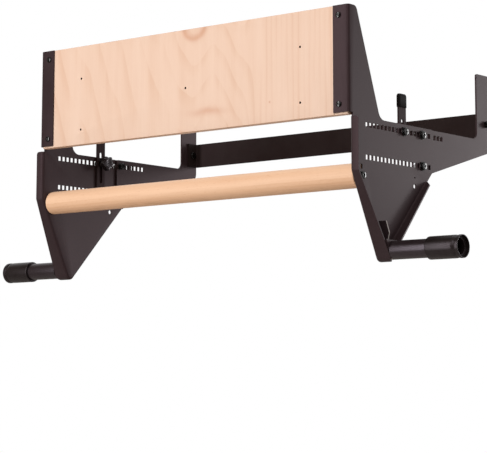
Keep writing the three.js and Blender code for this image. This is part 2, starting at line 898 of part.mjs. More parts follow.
placePair('side_plate', sidePlate(), 'steel');
placePair('tube_end_plate', tubeEndPlate(), 'steel');
placePair('tube_gusset', tubeGusset(), 'steel');
placePair('handle_tube', handleTube(), 'tube');
placePair('tube_sleeve', tubeSleeve(), 'rubber');
placePair('hook_plate', hookPlate(), 'steel');
placePair('support_arm', supportArm(), 'steel');
placePair('arm_cap', armCap(), 'rubber');
placePair('star_knob', starKnob(), 'knob');

place('board', board(), 'ply');
place('pull_up_bar', pullUpBar(), 'beech');
place('rear_bar', rearBar(), 'rear_steel');

placePair('arm_bolt', armBolt(), 'black_bolt');
placePair('arm_washer', washer(outer_washer_x, arm_y, slot_high_z, washer_diameter, hole_bore), 'black_bolt');

const rows = { upper: slot_high_z, lower: slot_low_z };
Object.entries(rows).forEach(([row, z]) => {
  placePair(`hook_bolt_${row}`, hookBolt(z), 'black_bolt');
  placePair(`hook_washer_${row}`, washer(outer_washer_x, hook_bolt_y, z, washer_diameter, hole_bore), 'black_bolt');
  placePair(
    `hook_inner_washer_${row}`,
    washer(hook_washer_x, hook_bolt_y, z, inner_washer_diameter, hole_bore),
    'black_bolt',
  );
  placePair(`hook_nut_${row}`, nut(hook_nut_x, hook_bolt_y, z), 'black_bolt');
});

placePair('rear_bar_bolt', rearBarBolt(), 'black_bolt');
placePair('rear_bar_nut', nut(rear_nut_x, rearBoltY(), rear_bar_z), 'black_bolt');
placePair('bar_screw', barScrew(), 'black_bolt');
placePair(
  'bar_washer',
  washer(outer_washer_x, bar_y, bar_z, bar_washer_diameter, bar_screw_diameter + 2 * seat),
  'black_bolt',
);

['upper', 'lower'].forEach((row, i) => {
  placePair(`board_screw_${row}`, boardScrew(boardScrewPlaces()[i]), 'black_bolt');
});

export default rig;
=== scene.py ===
"""Doorway pull-up rig: finishes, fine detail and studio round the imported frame.

Every length is in metres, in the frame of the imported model: X along the bar,
Y from front to back, Z up.
"""

import json

import bmesh
import bpy
import numpy as np
from bpy.props import FloatProperty, FloatVectorProperty, IntProperty, PointerProperty
from mathutils import Matrix, Vector


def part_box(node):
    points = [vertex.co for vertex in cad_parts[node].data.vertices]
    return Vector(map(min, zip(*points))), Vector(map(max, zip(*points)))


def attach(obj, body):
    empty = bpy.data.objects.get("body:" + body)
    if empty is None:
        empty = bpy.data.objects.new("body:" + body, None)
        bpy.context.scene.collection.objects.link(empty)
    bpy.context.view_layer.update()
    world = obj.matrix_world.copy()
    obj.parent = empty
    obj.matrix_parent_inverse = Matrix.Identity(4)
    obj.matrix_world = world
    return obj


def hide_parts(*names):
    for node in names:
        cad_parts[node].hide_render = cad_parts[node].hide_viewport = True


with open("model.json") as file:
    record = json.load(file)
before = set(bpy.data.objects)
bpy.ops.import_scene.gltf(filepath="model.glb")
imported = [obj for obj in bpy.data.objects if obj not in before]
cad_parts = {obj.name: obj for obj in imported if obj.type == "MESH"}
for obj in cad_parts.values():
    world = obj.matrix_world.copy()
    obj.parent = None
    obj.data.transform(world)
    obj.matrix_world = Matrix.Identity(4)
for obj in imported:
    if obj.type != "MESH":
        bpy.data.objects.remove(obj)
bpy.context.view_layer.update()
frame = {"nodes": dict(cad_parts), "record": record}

bl_info = {
    "name": "Doorway Pull-up Rig",
    "version": (1, 0, 0),
    "blender": (4, 5, 0),
    "location": "View3D > Sidebar > Rig",
    "description": "Dresses the packed doorway pull-up rig and sets up its studio",
    "category": "Object",
}

MM = 0.001
SIDES = {"right": 1.0, "left": -1.0}
GRAIN_DEPTH = 0.05 * MM
LAMP_TARGET = (0.0, 0.1, 0.15)
LAMPS = {
    "key": {"place": (1.2, -3.0, 2.2), "size": (2.4, 2.4)},
    "side": {"place": (-1.35, -2.65, 0.5), "size": (0.55, 3.0)},
    "rim": {"place": (1.35, 3.0, 0.45), "size": (0.45, 1.1)},
}


def srgb(red, green, blue):
    """Linear colour of a display colour given in parts of 255."""
    display = np.array([red, green, blue]) / 255
    return tuple(np.where(display <= 0.04045, display / 12.92, ((display + 0.055) / 1.055) ** 2.4))


def colour_property(name, description, default):
    """Linear colour that a user can set."""
    return FloatVectorProperty(
        name=name, description=description, default=default, subtype="COLOR", size=3, min=0, max=1
    )


def length_property(name, description, default):
    """Length in metres that a user can set."""
    return FloatProperty(
        name=name, description=description, default=default, unit="LENGTH", min=0, precision=5
    )


def level_property(name, description, default):
    """Level or power of 0 or more that a user can set."""
    return FloatProperty(name=name, description=description, default=default, min=0)


def angle_property(name, description, default):
    """Angle in radians that a user can set."""
    return FloatProperty(name=name, description=description, default=default, subtype="ANGLE")


class RigColours(bpy.types.PropertyGroup):
    """Colours of the rig's finishes"""

    steel: colour_property("Steel", "Powder coat of the plates and arms", srgb(47, 35, 37))
    # Part thin coat over the metal, part painted highlight caught on the edges.
    bare_edge_and_highlight: colour_property("Bare edge", "Cut edges where the coat is thin", srgb(176, 170, 166))
    # Painted shade: the steel coat made darker for the rear bar, which sits in shade behind the board.
    rear_steel_shaded: colour_property("Rear bar", "Powder coat of the flat bar between the hooks", srgb(34, 25, 24))
    tube: colour_property("Tube", "Powder coat of the handle tubes", srgb(27, 18, 19))
    veneer: colour_property("Veneer", "Face veneer of the plywood board", srgb(231, 200, 179))
    veneer_line: colour_property("Veneer lines", "Growth lines of the face veneer", srgb(212, 166, 134))
    veneer_mark: colour_property("Veneer mark", "Marks in the veneer", srgb(202, 142, 108))
    core: colour_property("Core", "Dark layers in the edge of the board", srgb(196, 150, 116))
    beech: colour_property("Beech", "Wood of the round bar", srgb(241, 200, 166))
    beech_line: colour_property("Beech lines", "Growth lines of the round bar", srgb(214, 160, 120))
    # Painted shade: a deeper, more orange colour mixed into the bar's underside.
    beech_painted_shade: colour_property("Deep beech", "Mellowed underside of the round bar", srgb(205, 140, 84))
    rubber: colour_property("Rubber", "Sleeves and caps", srgb(19, 12, 11))
    knob: colour_property("Knob", "Moulded star knobs", srgb(24, 19, 20))
    bolt: colour_property("Bolt", "Blackened bolts, screws and nuts", srgb(7, 5, 5))


class RigSizes(bpy.types.PropertyGroup):
    """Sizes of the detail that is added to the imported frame"""

    plate_easing: length_property("Plate easing", "Round on the edges of the coated plates", 0.15 * MM)
    bar_easing: length_property("Bar easing", "Round on the ends of the wooden bar", 1.5 * MM)
    bar_bore: length_property("Bar bore", "Bore for the screw in each end of the wooden bar", 6.6 * MM)
    bar_bore_depth: length_property("Bar bore depth", "Depth of those bores", 45.0 * MM)
    tube_wall: length_property("Tube wall", "Wall of the handle tubes", 2.0 * MM)
    tube_easing: length_property("Tube easing", "Round on the ends of the handle tubes", 0.4 * MM)
    sleeve_easing: length_property("Sleeve easing", "Round on the rims of the sleeves", 1.6 * MM)
    sleeve_bore: length_property("Sleeve bore", "Bore of the sleeves", 29.6 * MM)
    sleeve_edge: length_property("Sleeve edge", "Round on the small edges of the sleeves", 0.5 * MM)
    slope_easing: length_property("Slope easing", "Round where the groove's slope begins", 2.0 * MM)
    collar_length: length_property("Collar length", "Collar at the outer end of a sleeve", 6.3 * MM)
    collar_rise: length_property("Collar rise", "Length of the step up to the collar", 1.2 * MM)
    groove_depth: length_property("Groove depth", "Depth of the groove behind the collar", 1.5 * MM)
    groove_slope: length_property("Groove slope", "Length over which the groove deepens", 5.0 * MM)
    mouth_rim: length_property("Mouth rim", "Width of a sleeve's rim at its mouth", 1.2 * MM)
    mouth_depth: length_property("Mouth depth", "Depth of a sleeve's mouth, where its tube ends", 6.0 * MM)
    fine_easing: length_property("Fine easing", "Round on small turned and cut edges", 0.3 * MM)
    head_rise: length_property("Head rise", "Height of a domed bolt head", 3.6 * MM)
    head_width: length_property("Head width", "Diameter of a domed bolt head", 12.4 * MM)
    bar_head_rise: length_property("Bar head rise", "Height of a bar screw's head", 3.5 * MM)
    bar_head_width: length_property("Bar head width", "Diameter of a bar screw's head", 11.0 * MM)
    socket: length_property("Socket", "Width across the flats of a hexagonal socket", 4.0 * MM)
    bolt_width: length_property("Bolt width", "Diameter of the bolts", 6.0 * MM)
    bolt_clearance: length_property("Bolt clearance", "Gap round a bolt in its washers and nut", 0.3 * MM)
    thread_pitch: length_property("Thread pitch", "Pitch of the bolts' threads", 1.0 * MM)
    thread_depth: length_property("Thread depth", "Depth of the bolts' threads", 0.4 * MM)
    thread_length: length_property("Thread length", "Length of the bolts' threads", 9.0 * MM)
    bar_thread_length: length_property("Bar thread length", "Length of a bar screw's thread", 30.0 * MM)
    screw_thread_length: length_property("Screw thread length", "Length of a board screw's thread", 11.0 * MM)
    screw_head_rise: length_property("Screw head rise", "Height of a board screw's head", 2.4 * MM)
    screw_head_width: length_property("Screw head width", "Diameter of a board screw's head", 9.0 * MM)
    screw_width: length_property("Screw width", "Diameter of the board screws", 4.5 * MM)
    screw_socket: length_property("Screw socket", "Width of a board screw's socket", 3.0 * MM)
    knob_lobes: IntProperty(name="Knob lobes", description="Number of lobes on a knob", default=5, min=3)
    knob_lobe: length_property("Knob lobe", "Depth of the knobs' lobes", 3.4 * MM)
    knob_hub: length_property("Knob hub", "Diameter of the knobs' hubs", 13.0 * MM)
    knob_hub_height: length_property("Knob hub height", "How far a hub stands out of its knob", 8.5 * MM)
    knob_bore: length_property("Knob bore", "Bore of the knobs", 6.6 * MM)
    knob_bore_depth: length_property("Knob bore depth", "Depth of the knobs' bores", 15.0 * MM)
    cap_wall: length_property("Cap wall", "Wall of the arm caps", 0.75 * MM)
    cap_slack: length_property("Cap slack", "How much narrower the caps are, on each side", 0.55 * MM)
    cap_crown: length_property("Cap crown", "Thickness of the top of the arm caps", 2.0 * MM)


class RigStudio(bpy.types.PropertyGroup):
    """Camera, floor and lamps"""

    camera_place: FloatVectorProperty(
        name="Camera place", description="Where the camera stands", subtype="TRANSLATION",
        unit="LENGTH", default=(2.011739, -2.401340, -0.227897),
    )
    camera_yaw: angle_property("Camera yaw", "Turn of the camera round the vertical", 0.671513)
    camera_pitch: angle_property("Camera pitch", "How far the camera looks up", 0.148095)
    camera_roll: angle_property("Camera roll", "Roll of the camera", 0.000783)
    lens: FloatProperty(name="Lens", description="Focal length in millimetres", default=140.59, min=1)
    shift_x: FloatProperty(name="Shift X", description="Sideways lens shift", default=-0.05668)
    shift_y: FloatProperty(name="Shift Y", description="Upright lens shift", default=-0.22320)
    floor_depth: length_property("Floor depth", "How far the floor lies under the handle tubes", 1.78)
    floor_size: length_property("Floor size", "Side of the floor", 14.0)
    floor_shift: length_property("Floor shift", "How far the floor's middle lies behind the rig", 1.0)
    key_power: level_property("Key power", "Power of the key lamp in watts", 76.0)
    side_power: level_property("Side power", "Power of the side lamp in watts", 50.0)
    rim_power: level_property("Rim power", "Power of the rim lamp in watts", 20.0)
    front_sky: level_property("Front sky", "Level of the light from the front", 0.2)
    back_sky: level_property("Back sky", "Level of the light from behind the rig", 0.7)
    front_light: colour_property("Front light", "Colour of the light from the front", (1.0, 0.82, 0.66))
    back_light: colour_property("Back light", "Colour of the light from behind the rig", (0.97, 0.98, 1.0))
    floor_tone: colour_property("Floor", "Colour of the floor", (0.64, 0.61, 0.57))
    backdrop: colour_property("Backdrop", "Colour of the backdrop", (1.0, 1.0, 1.0))


# Surfaces as functions of two parameters


def steps_round(count):
    """Angles round a full circle, the last one left out."""
    return np.arange(count) * (2 * np.pi / count)


def eased_profile(corners, easing, steps=4):
    """Closed profile with round corners.

    Each corner is replaced by points c + (a - c)(1 - t)^2 + (b - c)t^2 for t from
    0 to 1, where a and b lie on the sides at the corner's easing.
    """
    corners = np.asarray(corners, float)
    easing = np.broadcast_to(np.asarray(easing, float), len(corners))[:, None]
    to_last = np.roll(corners, 1, axis=0) - corners
    to_next = np.roll(corners, -1, axis=0) - corners
    start = to_last * easing / np.linalg.norm(to_last, axis=1, keepdims=True)
    end = to_next * easing / np.linalg.norm(to_next, axis=1, keepdims=True)
    t = np.linspace(0, 1, steps + 1)[None, :, None]
    points = corners[:, None] + start[:, None] * (1 - t) ** 2 + end[:, None] * t**2
    points = points.reshape(-1, 2)
    apart = np.linalg.norm(points - np.roll(points, 1, axis=0), axis=1) > 1e-7
    return points[apart]


def open_profile(corners, easing, steps=4):
    """Profile that starts and ends on the axis, with its inner corners rounded."""
    inner = eased_profile(corners, easing, steps)
    start = int(np.argmin(np.linalg.norm(inner - corners[0], axis=1)))
    return np.roll(inner, -start, axis=0)


def turned(profile, steps, lobes=None):
    """Surface of revolution round the first axis.

    A profile point (a, r) at the angle q becomes (a, r cos q, r sin q). With
    lobes, r is first multiplied by lobes(q) of the same shape as the grid.
    """
    angle = steps_round(steps)[None, :]
    along, radius = profile[:, :1], profile[:, 1:]
    if lobes is not None:
        radius = radius * lobes(angle)
    return np.stack(
        [along + 0 * angle, radius * np.cos(angle), radius * np.sin(angle)], axis=-1
    )


def laid(points, origin, axis):
    """Points moved so that their first axis runs along the given axis from an origin."""
    axis = np.asarray(axis, float)
    side = np.array([0, 1, 0]) if abs(axis[1]) < 0.5 else np.array([1, 0, 0])
    third = np.cross(axis, side)
    return np.asarray(origin) + points @ np.stack([axis, side, third])


def grid_faces(rows, columns, closed_rows, closed_columns):
    """Corner numbers of the quads of a grid of points, as one array."""
    number = np.arange(rows * columns).reshape(rows, columns)
    down = np.roll(number, -1, axis=0)
    across = np.roll(number, -1, axis=1)
    both = np.roll(down, -1, axis=1)
    quads = np.stack([number, across, both, down], axis=-1)
    last_row = rows if closed_rows else rows - 1
    last_column = columns if closed_columns else columns - 1
    return quads[:last_row, :last_column].reshape(-1, 4)


def surface_mesh(name, grids, sharp=38.0):
    """Mesh of closed surfaces, each given as (points, closed_rows, closed_columns).

    Points that meet at poles and seams are merged, and faces point outwards.
    Edges past the sharp angle in degrees stay crisp.
    """
    places, faces, first = [], [], 0
    for points, closed_rows, closed_columns in grids:
        rows, columns = points.shape[:2]
        places.append(points.reshape(-1, 3))
        faces.append(grid_faces(rows, columns, closed_rows, closed_columns) + first)
        first += rows * columns
    mesh = bpy.data.meshes.new(name)
    mesh.from_pydata(np.concatenate(places), [], np.concatenate(faces))
    return finished_mesh(mesh, sharp)


def finished_mesh(mesh, sharp, flat=None):
    """Merges doubles, joins flat facets, turns faces outwards and sets the shading.

    The angles sharp and flat are in degrees.
    """
    work = bmesh.new()
    work.from_mesh(mesh)
    bmesh.ops.remove_doubles(work, verts=work.verts, dist=1e-6)
    bmesh.ops.dissolve_degenerate(work, edges=work.edges, dist=1e-7)
    if flat is not None:
        bmesh.ops.dissolve_limit(
            work, angle_limit=np.radians(flat), verts=work.verts, edges=work.edges, delimit={"NORMAL"}
        )
    bmesh.ops.recalc_face_normals(work, faces=work.faces)
    work.to_mesh(mesh)
    work.free()
    mesh.polygons.foreach_set("use_smooth", np.ones(len(mesh.polygons), bool))
    mesh.set_sharp_from_angle(angle=np.radians(sharp))
    mesh.update()
    return mesh


def put(mesh, node, finish):
    """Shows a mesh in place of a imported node, on that node's body."""
    mesh.materials.clear()
    mesh.materials.append(finish)
    piece = bpy.data.objects.new(mesh.name, mesh)
    bpy.context.scene.collection.objects.link(piece)
    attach(piece, body_of(node))
    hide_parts(node)
    return piece


def body_of(node):
    """Name of the body that carries a node."""
    bodies = frame["record"]["behaviour"]["bodies"]
    return next(body for body, nodes in bodies.items() if node in nodes)


def merged_copy(node, name):
    """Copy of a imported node's mesh with its facets joined and its shading set anew."""
    mesh = frame["nodes"][node].data.copy()
    mesh.name = name
    normals = mesh.attributes.get("custom_normal")
    if normals is not None:
        mesh.attributes.remove(normals)
    return finished_mesh(mesh, sharp=30.0, flat=0.2)


def eased_plate(node, finish, easing):
    """Copy of a packed plate with its facets joined and its edges rounded."""
    piece = put(merged_copy(node, f"{node}_coated"), node, finish)
    bevel = piece.modifiers.new("Eased edges", "BEVEL")
    bevel.limit_method = "ANGLE"
    bevel.angle_limit = np.radians(40)
    bevel.width = easing
    bevel.segments = 2
    bevel.harden_normals = True
    bevel.use_clamp_overlap = False
    return piece


def corners_of(node):
    """Lowest and highest corner of a node as arrays."""
    low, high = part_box(node)
    return np.array(low), np.array(high)


def centre_line(node):
    """Middle of a node, and half its height, which is the radius of a piece turned on X."""
    low, high = corners_of(node)
    middle = (low + high) / 2
    return middle, (high[2] - low[2]) / 2


# Shader node groups and materials


class Term:
    """A number in a node tree that can be added, multiplied and so on"""

    def __init__(self, tree, socket):
        self.tree = tree
        self.socket = socket

    def math(self, operation, *others):
        """Result of a math node on this number and others."""
        node = self.tree.nodes.new("ShaderNodeMath")
        node.operation = operation
        for place, value in enumerate((self, *others)):
            feed(self.tree, node.inputs[place], value)
        return Term(self.tree, node.outputs[0])

    def __add__(self, other):
        return self.math("ADD", other)

    def __sub__(self, other):
        return self.math("SUBTRACT", other)

    def __mul__(self, other):
        return self.math("MULTIPLY", other)

    def __truediv__(self, other):
        return self.math("DIVIDE", other)

    def bell(self, middle, width):
        """exp(-((value - middle) / width)^2)"""
        offset = (self - middle) / width
        return (offset * offset * -1.0).math("EXPONENT")

    def ramp(self, low, high):
        """Smooth step from 0 at low to 1 at high."""
        node = self.tree.nodes.new("ShaderNodeMapRange")
        node.interpolation_type = "SMOOTHSTEP"
        feed(self.tree, node.inputs["Value"], self)
        feed(self.tree, node.inputs["From Min"], low)
        feed(self.tree, node.inputs["From Max"], high)
        return Term(self.tree, node.outputs["Result"])


def feed(tree, socket, value):
    """Links a Term or a socket into a socket, or sets its value; a colour gets its alpha."""
    if isinstance(value, Term):
        value = value.socket
    if isinstance(value, bpy.types.NodeSocket):
        tree.links.new(value, socket)
    elif socket.type == "RGBA":
        socket.default_value = (*value, 1.0)
    else:
        socket.default_value = value


def coordinates(tree, vector):
    """The three numbers of a vector as Terms."""
    node = tree.nodes.new("ShaderNodeSeparateXYZ")
    tree.links.new(vector, node.inputs[0])
    return [Term(tree, output) for output in node.outputs]


def new_group(name, inputs, outputs):
    """Empty shader node group with named sockets, and its input and output nodes."""
    group = bpy.data.node_groups.new(name, "ShaderNodeTree")
    for label, kind in inputs.items():
        group.interface.new_socket(name=label, in_out="INPUT", socket_type=f"NodeSocket{kind}")
    for label, kind in outputs.items():
        group.interface.new_socket(name=label, in_out="OUTPUT", socket_type=f"NodeSocket{kind}")
    return group, group.nodes.new("NodeGroupInput"), group.nodes.new("NodeGroupOutput")


def noise(tree, vector, scale=1.0, detail=2.0, roughness=0.5):
    """Noise texture as a Term; the scale is a number or a socket."""
    node = tree.nodes.new("ShaderNodeTexNoise")
    node.inputs["Detail"].default_value = detail
    node.inputs["Roughness"].default_value = roughness
    feed(tree, node.inputs["Vector"], vector)
    feed(tree, node.inputs["Scale"], scale)
    return Term(tree, node.outputs["Fac"])


def blended(tree, factor, first, second):
    """Colour between two colours or sockets."""
    node = tree.nodes.new("ShaderNodeMix")
    node.data_type = "RGBA"
    feed(tree, node.inputs["Factor"], factor)
    for name, value in (("A", first), ("B", second)):
        feed(tree, next(s for s in node.inputs if s.name == name and s.type == "RGBA"), value)
    return next(s for s in node.outputs if s.type == "RGBA")


def scaled(tree, vector, factors):
    """Vector with each axis multiplied by a factor."""
    node = tree.nodes.new("ShaderNodeMapping")
    node.inputs["Scale"].default_value = factors
    tree.links.new(vector, node.inputs["Vector"])
    return node.outputs["Vector"]


def placed_group(tree, group, values):
    """A node group in a material, its inputs linked or set from a table."""
    node = tree.nodes.new("ShaderNodeGroup")
    node.node_tree = group
    for name, value in values.items():
        feed(tree, node.inputs[name], value)
    return node


def mottle_group():
    """Cloudy tone and fine pitted grain of a coated, moulded or plated surface."""
    if "Fine Mottle" in bpy.data.node_groups:
        return bpy.data.node_groups["Fine Mottle"]
    inputs = {
        "Vector": "Vector", "Colour": "Color", "Shade": "Color", "Cloud Scale": "Float",
        "Cloud Amount": "Float", "Roughness": "Float", "Roughness Spread": "Float", "Grain Scale": "Float",
    }
    outputs = {"Colour": "Color", "Roughness": "Float", "Height": "Float"}
    group, given, result = new_group("Fine Mottle", inputs, outputs)
    take = given.outputs
    cloud = noise(group, take["Vector"], take["Cloud Scale"], detail=4.0)
    grain = noise(group, take["Vector"], take["Grain Scale"], detail=2.0, roughness=0.6)
    share = (cloud - 0.25) * Term(group, take["Cloud Amount"]) * 2.0
    speck = grain.ramp(0.55, 0.8) * Term(group, take["Cloud Amount"])
    colour = blended(group, share + speck, take["Colour"], take["Shade"])
    rough = (cloud - 0.5) * Term(group, take["Roughness Spread"]) + Term(group, take["Roughness"])
    feed(group, result.inputs["Colour"], colour)
    feed(group, result.inputs["Roughness"], rough)
    feed(group, result.inputs["Height"], grain)
    return group


def edge_wear_and_highlight_group():
    """Coat lightened on cut edges, told by how far a normal leans to an axis.

    The lightening is partly thin coat over the metal and partly painted highlight.
    The lean is the size of the dot product of the normal and the axis. The coat
    is whole where the lean is Whole and lightest where it is Lit Worn.
    """
    if "Cut Edge Wear And Highlight" in bpy.data.node_groups:
        return bpy.data.node_groups["Cut Edge Wear And Highlight"]
    inputs = {
        "Normal": "Vector", "Axis": "Vector", "Whole": "Float", "Lit Worn": "Float",
        "Amount": "Float", "Coat": "Color", "Lit Bare": "Color",
    }
    group, given, result = new_group("Cut Edge Wear And Highlight", inputs, {"Colour": "Color"})
    take = given.outputs
    dot = group.nodes.new("ShaderNodeVectorMath")
    dot.operation = "DOT_PRODUCT"
    feed(group, dot.inputs[0], take["Normal"])
    feed(group, dot.inputs[1], take["Axis"])
    lean = Term(group, dot.outputs["Value"]).math("ABSOLUTE")
    lit_worn = lean.ramp(take["Whole"], take["Lit Worn"]) * Term(group, take["Amount"])
    feed(group, result.inputs["Colour"], blended(group, lit_worn, take["Coat"], take["Lit Bare"]))
    return group


def wood_group():
    """Growth lines, fibre streaks and short dark flecks of sanded wood.

    The field is the number of growth rings at a point, so a line is drawn where
    it passes a whole number: tone rises slowly through a ring and drops at its end.
    The vector has its X along the grain.
    """
    if "Sanded Wood" in bpy.data.node_groups:
        return bpy.data.node_groups["Sanded Wood"]
    inputs = {
        "Vector": "Vector", "Field": "Float", "Pale": "Color", "Dark": "Color",
        "Line Amount": "Float", "Fibre Amount": "Float", "Fleck Amount": "Float",
    }
    outputs = {"Colour": "Color", "Roughness": "Float", "Height": "Float"}
    group, given, result = new_group("Sanded Wood", inputs, outputs)
    take = given.outputs
    fibre_scale, broad_scale, fleck_scale = (12, 700, 700), (3, 45, 45), (140, 1500, 1500)
    part = Term(group, take["Field"]).math("FRACT")
    late = part.ramp(0.45, 0.97) * (part * -1.0 + 1.0).ramp(0.0, 0.05)
    fibre = noise(group, scaled(group, take["Vector"], fibre_scale), detail=3.0)
    broad = noise(group, scaled(group, take["Vector"], broad_scale))
    fleck = noise(group, scaled(group, take["Vector"], fleck_scale), detail=0.0).ramp(0.68, 0.78)
    tone = (
        late * broad.ramp(0.30, 0.62) * Term(group, take["Line Amount"])
        + (fibre - 0.5) * Term(group, take["Fibre Amount"])
        + (broad - 0.5) * Term(group, take["Fibre Amount"]) * 1.6
        + fleck * Term(group, take["Fleck Amount"])
    )
    colour = blended(group, tone + 0.12, take["Pale"], take["Dark"])
    rough = fibre * 0.12 + 0.46
    height = fibre - fleck * 0.8 + late * 0.3
    feed(group, result.inputs["Colour"], colour)
    feed(group, result.inputs["Roughness"], rough)
    feed(group, result.inputs["Height"], height)
    return group


def new_material(name):
    """Material with an empty Principled BSDF, its tree and the object's coordinates."""
    material = bpy.data.materials.new(name)
    material.use_nodes = True
    tree = material.node_tree
    place = tree.nodes.new("ShaderNodeTexCoord")
    return material, tree, tree.nodes["Principled BSDF"], place.outputs["Object"]


def finish_shader(tree, shader, colour, node, strength, distance):
    """Feeds a shader from a colour and a finish node's roughness and height."""
    bump = tree.nodes.new("ShaderNodeBump")
    bump.inputs["Strength"].default_value = strength
    bump.inputs["Distance"].default_value = distance
    feed(tree, bump.inputs["Height"], node.outputs["Height"])
    feed(tree, shader.inputs["Base Color"], colour)
    feed(tree, shader.inputs["Roughness"], node.outputs["Roughness"])
    feed(tree, shader.inputs["Normal"], bump.outputs["Normal"])


def mottled_material(name, colour, look):
    """Coated, moulded or plated finish: the mottle group with the values of a look."""
    if name in bpy.data.materials:
        return bpy.data.materials[name]
    material, tree, shader, place = new_material(name)
    values = {
        "Vector": place, "Colour": colour, "Shade": lighter(colour, look["shade"]),
        "Cloud Scale": look["cloud_scale"], "Cloud Amount": look["cloud"],
        "Roughness": look["roughness"], "Roughness Spread": look["spread"],
        "Grain Scale": look["grain_scale"],
    }
    node = placed_group(tree, mottle_group(), values)
    finish_shader(tree, shader, node.outputs["Colour"], node, look["bump"], GRAIN_DEPTH)
    feed(tree, shader.inputs["Specular IOR Level"], look["specular"])
    feed(tree, shader.inputs["Specular Tint"], look["tint"])
    return material


def lighter(colour, share):
    """Colour moved towards white."""
    return tuple(np.asarray(colour) * (1 - share) + share)


def darker(colour, share):
    """Colour moved towards black."""
    return tuple(np.asarray(colour) * (1 - share))


def powder_coat(name, colour, roughness=0.4, specular=0.18):
    """Satin powder coat with a slight orange peel."""
    look = {
        "shade": 0.02, "cloud_scale": 24.0, "cloud": 0.35, "roughness": roughness, "spread": 0.14,
        "grain_scale": 1100.0, "bump": 0.35, "specular": specular, "tint": (1.0, 0.68, 0.76),
    }
    return mottled_material(name, colour, look)


def cut_edge_highlight_coat(name, colour, lit_bare, axis, whole, lit_worn):
    """Powder coat lightened on cut edges by the lean of the normal to an axis: partly thin coat, partly
    painted highlight.
    """
    material = powder_coat(name, colour)
    tree = material.node_tree
    shader = tree.nodes["Principled BSDF"]
    values = {
        "Normal": tree.nodes.new("ShaderNodeNewGeometry").outputs["True Normal"], "Axis": axis,
        "Whole": whole, "Lit Worn": lit_worn, "Amount": 0.8,
        "Coat": shader.inputs["Base Color"].links[0].from_socket, "Lit Bare": lit_bare,
    }
    node = placed_group(tree, edge_wear_and_highlight_group(), values)
    feed(tree, shader.inputs["Base Color"], node.outputs["Colour"])
    return material


def tube_coat(name, colour):
    """Smooth semi-gloss coat of the handle tubes."""
    look = {
        "shade": 0.02, "cloud_scale": 24.0, "cloud": 0.3, "roughness": 0.34, "spread": 0.03,
        "grain_scale": 1100.0, "bump": 0.2, "specular": 0.5, "tint": (1.0, 0.86, 1.0),
    }
    return mottled_material(name, colour, look)


def moulded(name, colour, roughness, specular):
    """Dull moulded rubber or plastic."""
    look = {
        "shade": 0.02, "cloud_scale": 60.0, "cloud": 0.3, "roughness": roughness, "spread": 0.06,
        "grain_scale": 2200.0, "bump": 0.2, "specular": specular, "tint": (1.0, 0.85, 0.94),
    }
    return mottled_material(name, colour, look)


def blackened(name, colour):
    """Blackened steel of bolts and nuts."""
    look = {
        "shade": 0.01, "cloud_scale": 220.0, "cloud": 0.3, "roughness": 0.14, "spread": 0.05,
        "grain_scale": 2600.0, "bump": 0.04, "specular": 0.45, "tint": (1.0, 1.0, 1.0),
    }
    return mottled_material(name, colour, look)


def wood_node(tree, vector, field, pale, dark, line, fibre, fleck):
    """The wood group placed in a material."""
    values = {
        "Vector": vector, "Field": field, "Pale": pale, "Dark": dark,
        "Line Amount": line, "Fibre Amount": fibre, "Fleck Amount": fleck,
    }
    return placed_group(tree, wood_group(), values)


def beech(colours):
    """Turned beech: rings round a pith line that lies outside the bar, and painted shade that deepens the
    colour on the underside.
    """
    material, tree, shader, place = new_material("Sanded beech")
    middle, radius = centre_line("pull_up_bar")
    pith_y, pith_z = middle[1] + 2.1 * radius, middle[2] - 1.3 * radius
    ring_width, wander_rings, wander_scale = 4.2 * MM, 2.4, (2.2, 9, 9)
    _, y, z = coordinates(tree, place)
    wander = noise(tree, scaled(tree, place, wander_scale))
    across, up = y - float(pith_y), z - float(pith_z)
    reach = (across * across + up * up).math("SQRT")
    field = reach / ring_width + (wander - 0.5) * wander_rings
    wood = wood_node(
        tree, place, field, colours.beech, colours.beech_line, line=0.22, fibre=0.35, fleck=0.35
    )
    # Painted shade: the colour deepens as the normal turns down.
    facing_up = coordinates(tree, tree.nodes.new("ShaderNodeNewGeometry").outputs["Normal"])[2]
    underside = facing_up.ramp(0.1, -0.9) * 0.28
    wood_with_painted_shade = blended(tree, underside, wood.outputs["Colour"], colours.beech_painted_shade)
    finish_shader(tree, shader, wood_with_painted_shade, wood, strength=0.25, distance=0.08 * MM)
    return material


def veneer_field(tree, place, x, up, wander):
    """Count of growth lines at a point of the board's face.

    Left of the flame's axis the count grows with X, and with the height times a
    lean; a bell round that axis lifts the lines into a flame. Right of the close
    lines' start it grows quickly with X. Two noises bend the lines, and the
    first count keeps the sum above 0.
    """
    flame_axis, flame_width, flame_height = 69 * MM, 40 * MM, 90 * MM
    line_spacing = 46 * MM
    close_start, close_spacing = 150 * MM, 10.5 * MM
    upright_from, upright_at = 115 * MM, 155 * MM
    full_lean_at, slight_lean_at = 40 * MM, -60 * MM
    wander_bend, uneven_bend, uneven_scale = 0.9, 0.8, (22, 0, 2.5)
    first_count = 20.0
    lean = (x.ramp(slight_lean_at, full_lean_at) * 0.6 + 0.4) * x.ramp(upright_at, upright_from)
    flame = x.bell(flame_axis, flame_width) * flame_height
    level = (x - flame_axis).math("MINIMUM", 0.0) + up * lean - flame
    close = (x - close_start).math("MAXIMUM", 0.0)
    uneven = noise(tree, scaled(tree, place, uneven_scale), detail=1.0)
    bend = (wander - 0.5) * wander_bend + (uneven - 0.5) * uneven_bend
    return level / line_spacing + close / close_spacing + bend + first_count


